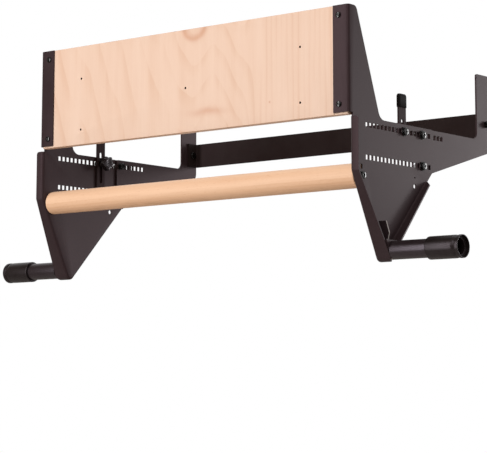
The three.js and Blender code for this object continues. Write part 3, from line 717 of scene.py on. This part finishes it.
def veneer_marks(x, up, wander):
    """Share of the mark colour: a half-round knot at the top edge, a streak and a pin knot.

    The knot is a bell over the squared distance from its middle, in shares of
    its half-sizes, so it is darkest along its rim.
    """
    knot_x, knot_up, knot_half_x, knot_half_up = 18 * MM, 87 * MM, 26 * MM, 23 * MM
    streak_x, streak_up, streak_half_x, streak_half_up = 47 * MM, -55 * MM, 34 * MM, 6 * MM
    streak_bend = 30 * MM
    pin_x, pin_up, pin_half = 175.2 * MM, -52.4 * MM, 1.6 * MM
    rim_at, rim_spread = 0.7, 0.4
    knot_share, streak_share, pin_share = 0.55, 0.5, 0.8
    off_x, off_up = (x - knot_x) / knot_half_x, (up - knot_up) / knot_half_up
    knot = (off_x * off_x + off_up * off_up).bell(rim_at, rim_spread)
    bent_up = up + (wander - 0.5) * streak_bend
    streak = x.bell(streak_x, streak_half_x) * bent_up.bell(streak_up, streak_half_up)
    pin = x.bell(pin_x, pin_half) * up.bell(pin_up, pin_half)
    return knot * knot_share + streak * streak_share + pin * pin_share


def plywood(colours):
    """Plywood: upright veneer figure on the faces, thin layers in the edges, painted shade in the holes.

    A hole's wall is told from the board's edges by lying further in than the margin.
    """
    material, tree, shader, place = new_material("Plywood")
    low, high = corners_of("board")
    size = high - low
    layer_pairs, pale_layer_from = 5.5, 0.42
    margin, hole_shade, wander_scale = 2 * MM, 0.95, (9, 9, 4)
    x, y, z = coordinates(tree, place)
    up = z - float((low[2] + high[2]) / 2)
    wander = noise(tree, scaled(tree, place, wander_scale))
    turn = tree.nodes.new("ShaderNodeCombineXYZ")
    for term, axis in ((z, 0), (y, 1), (x, 2)):
        feed(tree, turn.inputs[axis], term)
    field = veneer_field(tree, place, x, up, wander)
    face = wood_node(
        tree, turn.outputs[0], field, colours.veneer, colours.veneer_line, line=0.27, fibre=0.3, fleck=0.12
    )
    marks = veneer_marks(x, up, wander)
    marked = blended(tree, marks, face.outputs["Colour"], colours.veneer_mark)
    layer = (y - float(low[1])) / float(size[1]) * layer_pairs
    edge = wood_node(tree, place, layer, colours.core, colours.veneer, line=0.1, fibre=0.5, fleck=0.2)
    pale = layer.math("FRACT").ramp(pale_layer_from, pale_layer_from + 0.1)
    layers = blended(tree, pale, edge.outputs["Colour"], colours.veneer)
    facing_y = coordinates(tree, tree.nodes.new("ShaderNodeNewGeometry").outputs["True Normal"])[1]
    on_edge = facing_y.math("ABSOLUTE").ramp(0.8, 0.4)
    colour = blended(tree, on_edge, marked, layers)
    past_side = x.math("ABSOLUTE") - float(size[0]) / 2
    past_rim = up.math("ABSOLUTE") - float(size[2]) / 2
    # Painted shade: the walls of the holes are darkened nearly to black.
    in_hole = on_edge * past_side.math("MAXIMUM", past_rim).ramp(-margin, -1.5 * margin)
    colour = blended(tree, in_hole * hole_shade, colour, darker(colours.core, 0.9))
    finish_shader(tree, shader, colour, face, strength=0.2, distance=0.06 * MM)
    return material


# Pieces


def round_bar(node, sizes):
    """Turned wooden bar with eased ends and a screw bore in each end."""
    low, high = corners_of(node)
    middle, radius = centre_line(node)
    half = (high[0] - low[0]) / 2
    bore, floor = sizes.bar_bore / 2, half - sizes.bar_bore_depth
    right = [[floor, 0], [floor, bore], [half, bore], [half, radius]]
    corners = np.array([[-a, r] for a, r in right] + right[::-1])
    easing = np.array([0, 0, sizes.fine_easing, sizes.bar_easing])
    profile = open_profile(corners, np.append(easing, easing[::-1]))
    points = laid(turned(profile, 96), middle, (1, 0, 0))
    return surface_mesh(f"{node}_turned", [(points, False, True)])


def hollow_tube(node, side, sizes, steps=72):
    """Tube along X: a closed ring profile turned round the axis, ending short in its sleeve."""
    low, high = corners_of(node)
    middle, radius = centre_line(node)
    half = (high[0] - low[0]) / 2
    end = half - sizes.mouth_depth
    bore = radius - sizes.tube_wall
    corners = [[-half, bore], [-half, radius], [end, radius], [end, bore]]
    profile = eased_profile(corners, sizes.tube_easing)
    points = laid(turned(profile, steps), middle, (side, 0, 0))
    return surface_mesh(f"{node}_turned", [(points, True, True)])


def collared_sleeve(node, side, sizes, steps=72):
    """Sleeve with a groove, a collar and a wide mouth, turned round its axis.

    From the inner end the outer line runs level, slants down to the groove and
    steps up to the collar; the bore steps out to the mouth. Each corner is rounded.
    """
    low, high = corners_of(node)
    middle, radius = centre_line(node)
    length = high[0] - low[0]
    bore = sizes.sleeve_bore / 2
    groove = length - sizes.collar_length
    mouth = radius - sizes.mouth_rim
    mouth_floor = length - sizes.mouth_depth
    edge, fine = sizes.sleeve_edge, sizes.fine_easing
    line = [
        (0, bore, edge),
        (0, radius, sizes.sleeve_easing),
        (groove - sizes.groove_slope, radius, sizes.slope_easing),
        (groove, radius - sizes.groove_depth, edge),
        (groove + sizes.collar_rise, radius, edge),
        (length, radius, edge),
        (length, mouth, fine),
        (mouth_floor, mouth, edge),
        (mouth_floor, bore, fine),
    ]
    profile = eased_profile([corner[:2] for corner in line], [corner[2] for corner in line])
    start = middle - np.array([side * length / 2, 0, 0])
    points = laid(turned(profile, steps), start, (side, 0, 0))
    return surface_mesh(f"{node}_moulded", [(points, True, True)])


def hexagon(angle, flats):
    """Distance to the side of a hexagon: half the flats over the cosine from the nearest flat."""
    from_flat = np.mod(angle + np.pi / 6, np.pi / 3) - np.pi / 6
    return flats / 2 / np.cos(from_flat)


def socket_head(width, rise, flats, steps=48):
    """Low-crowned head with a hexagonal socket, base at 0, as a grid of rings.

    An upright wall turns through a quarter round into the crown, whose height
    falls with the square of the radius. The socket's rings follow the hexagon
    down to its floor and close at the middle.
    """
    crown_share, edge_share, mouth_share, floor_share = 0.125, 0.12, 0.66, 0.45
    chamfer, drill_point = 0.15 * MM, 0.4 * MM
    angle = steps_round(steps)
    radius = width / 2
    edge = edge_share * radius
    top_r = np.linspace(radius - edge, mouth_share * flats, 6)
    top_a = rise - crown_share * radius * (top_r / radius) ** 2
    turn = np.linspace(0, np.pi / 2, 5)[:-1]
    edge_r = radius - edge + edge * np.cos(turn)
    edge_a = top_a[0] - edge + edge * np.sin(turn)
    floor_a = floor_share * rise
    along = np.concatenate([[0, 0], edge_a, top_a, [top_a[-1] - chamfer, floor_a, floor_a - drill_point]])
    hexes = hexagon(angle, flats)
    round_reach = np.concatenate([[0, radius], edge_r, top_r])[:, None] + 0 * angle
    reach = np.concatenate([round_reach, [hexes, hexes, 0 * angle]])
    along = along[:, None] + 0 * angle
    return np.stack([along, reach * np.cos(angle), reach * np.sin(angle)], axis=-1)


def threaded_shank(width, length, threaded, pitch, depth, steps=24):
    """Shank from the head's base to -length, its last stretch cut with a helix.

    Radius at distance a and angle q is half the width, less the thread depth times
    the distance of a / pitch - q / 2 pi from the nearest whole number, doubled.
    The thread runs in and out over one pitch at its ends.
    """
    angle = steps_round(steps)
    thread_start = -(length - threaded)
    cut = np.arange(0, threaded, pitch / 6)
    along = np.concatenate([[0, thread_start], thread_start - cut[1:], [-length]])[:, None] + 0 * angle
    phase = along / pitch - angle / (2 * np.pi)
    groove = np.abs(np.mod(phase + 0.5, 1.0) - 0.5) * 2 * depth
    run_in = np.clip((thread_start - along) / pitch, 0, 1)
    run_out = np.clip((along + length) / pitch, 0, 1)
    radius = width / 2 - groove * run_in * run_out
    ends = [np.stack([0 * angle + a, 0 * angle, 0 * angle], axis=-1)[None] for a in (0.0, -length)]
    body = np.stack([along, radius * np.cos(angle), radius * np.sin(angle)], axis=-1)
    return np.concatenate([ends[0], body, ends[1]])


def bolt(node, axis, kind, sizes):
    """Socket-head bolt in a node's place, its head towards the given axis."""
    low, high = corners_of(node)
    axis = np.asarray(axis, float)
    middle = (low + high) / 2
    length = float(np.abs((high - low) @ axis))
    rise = kind["rise"]
    base = middle + axis * (length / 2 - rise)
    head = socket_head(kind["head"], rise, kind["socket"])
    shank = threaded_shank(
        kind["width"], length - rise, kind["threaded"], sizes.thread_pitch, sizes.thread_depth
    )
    grids = [(laid(head, base, axis), False, True), (laid(shank, base, axis), False, True)]
    return surface_mesh(f"{node}_turned", grids, sharp=34.0)


def ring_washer(node, bore, easing):
    """Flat washer with softly rounded edges, its axis along X."""
    low, high = corners_of(node)
    middle, radius = centre_line(node)
    half = (high[0] - low[0]) / 2
    corners = [[-half, bore], [-half, radius], [half, radius], [half, bore]]
    profile = eased_profile(corners, easing, 3)
    return surface_mesh(f"{node}_plated", [(laid(turned(profile, 64), middle, (1, 0, 0)), True, True)])


def hex_nut(node, bore, easing):
    """Nut: a hexagon whose corners are cut by a cone at both ends.

    The outer radius at height a is the lesser of the hexagon's and the cone's,
    which grows from the end's share of half the flats by the slope times the
    distance from the end. The bore is chamfered by the easing.
    """
    end_share, slope, cone_length = 0.97, 1.7, 1.1 * MM
    low, high = corners_of(node)
    middle = (low + high) / 2
    half = (high[0] - low[0]) / 2
    flats = min(high[1] - low[1], high[2] - low[2])
    angle = steps_round(72)
    ramp = np.linspace(0, cone_length, 6)
    along = np.concatenate([[-half], ramp - half, half - ramp[::-1], [half]])
    cone = end_share * flats / 2 + slope * (half - np.abs(along))
    outer = np.minimum(hexagon(angle, flats)[None, :], cone[:, None])
    outer[[0, -1]] = bore + easing
    reach = np.concatenate([outer, np.full((2, len(angle)), bore)])
    heights = np.append(along, [half - easing, easing - half])[:, None] + 0 * angle
    points = np.stack([heights, reach * np.cos(angle), reach * np.sin(angle)], axis=-1)
    return surface_mesh(f"{node}_cut", [(laid(points, middle, (1, 0, 0)), True, True)])


def star_knob(node, side, sizes):
    """Lobed knob: one profile with a dish, a round rim, a neck and a bore, turned on X.

    The radius of the dish and the rim is multiplied by 1 + w cos(n q), where n is
    the number of lobes and w fades to 0 towards the middle. One lobe points down.
    """
    low, high = corners_of(node)
    middle = (low + high) / 2
    outer_face = high[0] if side > 0 else -low[0]
    inner_face = low[0] if side > 0 else -high[0]
    radius = (high[1] - low[1]) / 2
    depth = outer_face - inner_face
    hub = sizes.knob_hub / 2
    thick = depth - sizes.knob_hub_height
    bore = sizes.knob_bore / 2
    mean = radius - sizes.knob_lobe / 2
    rim_round, hub_edge = 2.4 * MM, 0.5 * MM
    fillet_rise, fillet_reach = 1.0 * MM, 1.2 * MM
    fade_from, fade_over = 5.0 * MM, mean - 7.5 * MM
    t = np.linspace(-1, 1, 15)
    bulge = (1 - np.abs(t) ** 4) ** 0.25
    rim = np.stack([(t + 1) / 2 * thick, mean - rim_round * (1 - bulge)], axis=-1)
    dish = np.array([[0.9, 0], [0.9, 3.2], [0.5, 4.4], [0, 5.6]]) * MM
    fillet = [[thick, hub + fillet_reach], [thick + fillet_rise, hub]]
    neck = [[depth - hub_edge, hub], [depth, hub - hub_edge]]
    bore_floor = depth - sizes.knob_bore_depth
    hole = [[depth, bore], [bore_floor, bore], [bore_floor, 0]]
    profile = np.concatenate([dish, rim, fillet, neck, hole])
    weight = np.clip((profile[:, 1] - fade_from) / fade_over, 0, 1) ** 2
    weight[len(dish) + len(rim) + 1:] = 0
    wave = sizes.knob_lobe / 2 / mean
    points = turned(profile, 120, lambda angle: 1 + wave * weight[:, None] * np.cos(sizes.knob_lobes * angle))
    x = side * (inner_face + points[..., 0])
    y = middle[1] + points[..., 2]
    z = arm_bolt_height() - points[..., 1]
    placed = np.stack([x, y, z], axis=-1)
    return surface_mesh(f"{node}_moulded", [(placed, False, True)], sharp=50.0)


def arm_bolt_height():
    """Height of the arm bolts' axis."""
    low, high = corners_of("arm_bolt_right")
    return (low[2] + high[2]) / 2


def arm_cap(node, sizes):
    """Rubber cap: a rounded rectangular section carried up and closed over the arm.

    A section point at the angle q is (a cos q, b sin q), with both the cosine and
    the sine raised to the power 2/5, which gives a superellipse. The half-sizes
    a and b shrink by how far the wall is drawn in: a little at the foot, and over
    the crown by a quarter ellipse, less in X than in Y. The inner wall goes back
    down to the foot.
    """
    low, high = corners_of(node)
    middle = (low + high) / 2
    half = (high - low) / 2 - np.array([0, sizes.cap_slack, 0])
    height = 2 * half[2]
    foot, round_height, draw_share, draw_share_x = 0.4 * MM, 4.5 * MM, 0.8, 0.35
    angle = steps_round(96)[None, :]
    cos, sin = np.cos(angle), np.sin(angle)
    unit_x = np.sign(cos) * np.abs(cos) ** 0.4
    unit_y = np.sign(sin) * np.abs(sin) ** 0.4
    lift = np.linspace(0, np.pi / 2, 9)
    outer_z = np.concatenate([[0, foot], height - round_height * (1 - np.sin(lift)), [height]])
    outer_in = np.concatenate([[foot, 0], round_height * draw_share * (1 - np.cos(lift)), [half[1]]])
    inner_z = [height - sizes.cap_crown, height - sizes.cap_crown, 0]
    inner_in = [half[1], sizes.cap_wall, sizes.cap_wall]
    z = np.append(outer_z, inner_z)[:, None]
    drawn = np.append(outer_in, inner_in)[:, None]
    drawn_x = drawn * np.where(drawn > sizes.cap_wall, draw_share_x, 1.0)
    reach_y = np.maximum(half[1] - drawn, 0)
    reach_x = np.where(reach_y > 0, np.maximum(half[0] - drawn_x, 0), 0)
    x, y = middle[0] + reach_x * unit_x, middle[1] + reach_y * unit_y
    points = np.stack([x, y, low[2] + z + 0 * angle], axis=-1)
    return surface_mesh(f"{node}_moulded", [(points, True, True)], sharp=60.0)


# Operators


class RIG_OT_plates(bpy.types.Operator):
    """Coats the side plates, hooks, arms and rear bar and eases their edges"""

    bl_idname = "rig.plates"
    bl_label = "Coated plates"

    def execute(self, context):
        colours, sizes = context.scene.rig_colours, context.scene.rig_sizes
        tone, lit_bare = tuple(colours.steel), tuple(colours.bare_edge_and_highlight)
        steel = powder_coat("Powder coat", tone)
        # Painted shade: a darker, less glossy copy of the steel coat for the rear bar.
        rear = powder_coat("Shaded rear powder coat", tuple(colours.rear_steel_shaded), roughness=0.45, specular=0.08)
        # Painted shade: a less glossy copy of the steel coat darkens the support arms.
        arm_shade_coat = powder_coat("Shaded arm powder coat", tone, roughness=0.5, specular=0.07)
        finishes = {
            "side_plate": steel,
            "hook_plate": steel,
            "support_arm": arm_shade_coat,
            # Painted highlight, partly thin coat: the cut edges of the end plates and gussets are lightened.
            "tube_end_plate": cut_edge_highlight_coat("End plate coat", tone, lit_bare, (0, 0, 1), whole=0.6, lit_worn=0.9),
            "tube_gusset": cut_edge_highlight_coat("Gusset coat", tone, lit_bare, (0, 1, 0), whole=0.7, lit_worn=0.4),
        }
        for side in SIDES:
            for name, finish in finishes.items():
                eased_plate(f"{name}_{side}", finish, sizes.plate_easing)
        eased_plate("rear_bar", rear, sizes.plate_easing)
        return {"FINISHED"}


class RIG_OT_board(bpy.types.Operator):
    """Veneers the plywood board"""

    bl_idname = "rig.board"
    bl_label = "Plywood board"

    def execute(self, context):
        colours = context.scene.rig_colours
        put(merged_copy("board", "board_veneered"), "board", plywood(colours))
        return {"FINISHED"}


class RIG_OT_bar(bpy.types.Operator):
    """Turns the round wooden bar"""

    bl_idname = "rig.bar"
    bl_label = "Wooden bar"

    def execute(self, context):
        colours, sizes = context.scene.rig_colours, context.scene.rig_sizes
        put(round_bar("pull_up_bar", sizes), "pull_up_bar", beech(colours))
        return {"FINISHED"}


class RIG_OT_handles(bpy.types.Operator):
    """Turns the handle tubes and their rubber sleeves"""

    bl_idname = "rig.handles"
    bl_label = "Handles"

    def execute(self, context):
        colours, sizes = context.scene.rig_colours, context.scene.rig_sizes
        coat = tube_coat("Tube coat", tuple(colours.tube))
        rubber = moulded("Sleeve rubber", tuple(colours.rubber), roughness=0.34, specular=0.34)
        for side, sign in SIDES.items():
            tube, sleeve = f"handle_tube_{side}", f"tube_sleeve_{side}"
            put(hollow_tube(tube, sign, sizes), tube, coat)
            put(collared_sleeve(sleeve, sign, sizes), sleeve, rubber)
        return {"FINISHED"}


class RIG_OT_caps(bpy.types.Operator):
    """Moulds the rubber caps of the support arms"""

    bl_idname = "rig.caps"
    bl_label = "Arm caps"

    def execute(self, context):
        colours, sizes = context.scene.rig_colours, context.scene.rig_sizes
        # Painted shade: the caps' rubber is darkened to half and made nearly free of gloss.
        rubber = moulded("Shaded cap rubber", darker(colours.rubber, 0.5), roughness=0.45, specular=0.04)
        for side in SIDES:
            node = f"arm_cap_{side}"
            put(arm_cap(node, sizes), node, rubber)
        return {"FINISHED"}


class RIG_OT_knobs(bpy.types.Operator):
    """Moulds the star knobs"""

    bl_idname = "rig.knobs"
    bl_label = "Star knobs"

    def execute(self, context):
        colours, sizes = context.scene.rig_colours, context.scene.rig_sizes
        plastic = moulded("Knob plastic", tuple(colours.knob), roughness=0.24, specular=0.36)
        for side, sign in SIDES.items():
            node = f"star_knob_{side}"
            put(star_knob(node, sign, sizes), node, plastic)
        return {"FINISHED"}


class RIG_OT_bolts(bpy.types.Operator):
    """Turns the bolts and screws with their sockets and threads"""

    bl_idname = "rig.bolts"
    bl_label = "Bolts and screws"

    def execute(self, context):
        sizes = context.scene.rig_sizes
        black = blackened("Blackened steel", tuple(context.scene.rig_colours.bolt))
        bolt_kind = {
            "head": sizes.head_width, "rise": sizes.head_rise, "socket": sizes.socket,
            "width": sizes.bolt_width, "threaded": sizes.thread_length,
        }
        bar_screw_kind = {
            "head": sizes.bar_head_width, "rise": sizes.bar_head_rise, "socket": sizes.socket,
            "width": sizes.bolt_width, "threaded": sizes.bar_thread_length,
        }
        board_screw_kind = {
            "head": sizes.screw_head_width, "rise": sizes.screw_head_rise, "socket": sizes.screw_socket,
            "width": sizes.screw_width, "threaded": sizes.screw_thread_length,
        }
        for side, sign in SIDES.items():
            outward, inward, forward = (sign, 0, 0), (-sign, 0, 0), (0, -1, 0)
            rows = (
                ("arm_bolt", outward, bolt_kind),
                ("hook_bolt_upper", outward, bolt_kind),
                ("hook_bolt_lower", outward, bolt_kind),
                ("rear_bar_bolt", inward, bolt_kind),
                ("bar_screw", outward, bar_screw_kind),
                ("board_screw_upper", forward, board_screw_kind),
                ("board_screw_lower", forward, board_screw_kind),
            )
            for name, axis, kind in rows:
                node = f"{name}_{side}"
                put(bolt(node, axis, kind, sizes), node, black)
        return {"FINISHED"}


class RIG_OT_washers(bpy.types.Operator):
    """Cuts the washers and nuts"""

    bl_idname = "rig.washers"
    bl_label = "Washers and nuts"

    def execute(self, context):
        sizes = context.scene.rig_sizes
        black = blackened("Blackened steel", tuple(context.scene.rig_colours.bolt))
        bore = sizes.bolt_width / 2 + sizes.bolt_clearance
        for node in [node for node in frame["nodes"] if "washer" in node]:
            put(ring_washer(node, bore, sizes.fine_easing), node, black)
        for node in [node for node in frame["nodes"] if "_nut" in node]:
            put(hex_nut(node, bore, sizes.fine_easing), node, black)
        return {"FINISHED"}


class RIG_OT_studio(bpy.types.Operator):
    """Sets up the floor, the lamps, the world and the camera"""

    bl_idname = "rig.studio"
    bl_label = "Studio"

    def execute(self, context):
        studio = context.scene.rig_studio
        add_floor(studio)
        add_lamps(studio)
        add_world(studio)
        add_camera(studio)
        context.scene.view_settings.view_transform = "Standard"
        return {"FINISHED"}


def add_floor(studio):
    """Plain pale floor under the rig."""
    half = studio.floor_size / 2
    across = np.array([[-half, half], [-half, half]])
    back = across.T + studio.floor_shift
    points = np.stack([across, back, np.full((2, 2), -studio.floor_depth)], axis=-1)
    mesh = bpy.data.meshes.new("floor")
    mesh.from_pydata(points.reshape(-1, 3), [], [(0, 1, 3, 2)])
    material = bpy.data.materials.new("Pale floor")
    material.use_nodes = True
    shader = material.node_tree.nodes["Principled BSDF"]
    shader.inputs["Base Color"].default_value = (*studio.floor_tone, 1.0)
    shader.inputs["Roughness"].default_value = 0.9
    mesh.materials.append(material)
    floor = bpy.data.objects.new("floor", mesh)
    bpy.context.scene.collection.objects.link(floor)


def add_lamp(name, place, size, power):
    """Rectangular area lamp that looks at the rig; its size is its width and height."""
    lamp = bpy.data.lights.new(name, "AREA")
    lamp.shape = "RECTANGLE"
    lamp.size, lamp.size_y = size
    lamp.energy = power
    holder = bpy.data.objects.new(name, lamp)
    holder.visible_camera = False
    away = Vector(place) - Vector(LAMP_TARGET)
    holder.matrix_world = Matrix.Translation(place) @ away.to_track_quat("Z", "Y").to_matrix().to_4x4()
    bpy.context.scene.collection.objects.link(holder)


def add_lamps(studio):
    """Key lamp at the front right and above, side lamp at the front left, rim lamp behind at the right."""
    powers = {"key": studio.key_power, "side": studio.side_power, "rim": studio.rim_power}
    for name, power in powers.items():
        add_lamp(name, LAMPS[name]["place"], LAMPS[name]["size"], power)


def add_world(studio):
    """Soft light from all round, stronger from behind the rig.

    The backdrop's colour is what the camera sees, and what glossy and see-through
    surfaces show of the side behind the rig.
    """
    world = bpy.data.worlds.new("studio")
    world.use_nodes = True
    tree = world.node_tree
    path = tree.nodes.new("ShaderNodeLightPath")
    backdrop = tree.nodes.new("ShaderNodeBackground")
    feed(tree, backdrop.inputs["Color"], studio.backdrop)
    light = tree.nodes["Background"]
    direction = coordinates(tree, tree.nodes.new("ShaderNodeTexCoord").outputs["Generated"])
    backward = direction[1].ramp(-0.3, 0.5)
    level = backward * (studio.back_sky - studio.front_sky) + studio.front_sky
    feed(tree, light.inputs["Strength"], level)
    feed(tree, light.inputs["Color"], blended(tree, backward, studio.front_light, studio.back_light))
    seen, glossy, through = (
        Term(tree, path.outputs[name]) for name in ("Is Camera Ray", "Is Glossy Ray", "Is Transmission Ray")
    )
    shown = seen.math("MAXIMUM", glossy.math("MAXIMUM", through) * backward)
    pick = tree.nodes.new("ShaderNodeMixShader")
    feed(tree, pick.inputs[0], shown)
    feed(tree, pick.inputs[1], light.outputs[0])
    feed(tree, pick.inputs[2], backdrop.outputs[0])
    feed(tree, tree.nodes["World Output"].inputs["Surface"], pick.outputs[0])
    bpy.context.scene.world = world


def add_camera(studio):
    """Camera that looks along +Y, turned by its roll, pitch and yaw."""
    camera = bpy.data.cameras.new("camera")
    camera.lens = studio.lens
    camera.shift_x = studio.shift_x
    camera.shift_y = studio.shift_y
    camera.clip_end = 100
    holder = bpy.data.objects.new("camera", camera)
    turn = (
        Matrix.Rotation(studio.camera_yaw, 4, "Z")
        @ Matrix.Rotation(studio.camera_pitch, 4, "X")
        @ Matrix.Rotation(studio.camera_roll, 4, "Y")
        @ Matrix.Rotation(np.pi / 2, 4, "X")
    )
    holder.matrix_world = Matrix.Translation(studio.camera_place) @ turn
    bpy.context.scene.collection.objects.link(holder)
    bpy.context.scene.camera = holder


class RIG_PT_panel(bpy.types.Panel):
    """Lists the rig's operators and values"""

    bl_label = "Doorway pull-up rig"
    bl_idname = "RIG_PT_panel"
    bl_space_type = "VIEW_3D"
    bl_region_type = "UI"
    bl_category = "Rig"

    def draw(self, context):
        for operator in OPERATORS:
            self.layout.operator(operator.bl_idname)
        for group, kind in GROUPS.items():
            box = self.layout.box()
            for name in kind.__annotations__:
                box.prop(getattr(context.scene, group), name)


OPERATORS = (
    RIG_OT_plates,
    RIG_OT_board,
    RIG_OT_bar,
    RIG_OT_handles,
    RIG_OT_caps,
    RIG_OT_knobs,
    RIG_OT_bolts,
    RIG_OT_washers,
    RIG_OT_studio,
)
GROUPS = {"rig_colours": RigColours, "rig_sizes": RigSizes, "rig_studio": RigStudio}


def register():
    """Registers the classes and hangs the values on the scene."""
    for kind in (*GROUPS.values(), *OPERATORS, RIG_PT_panel):
        bpy.utils.register_class(kind)
    for name, kind in GROUPS.items():
        setattr(bpy.types.Scene, name, PointerProperty(type=kind))


def unregister():
    """Takes the values and the classes away again."""
    for name in GROUPS:
        delattr(bpy.types.Scene, name)
    for kind in (*GROUPS.values(), *OPERATORS, RIG_PT_panel):
        bpy.utils.unregister_class(kind)


def main():
    register()
    for operator in OPERATORS:
        group, name = operator.bl_idname.split(".")
        getattr(getattr(bpy.ops, group), name)()


if __name__ == "__main__":
    main()
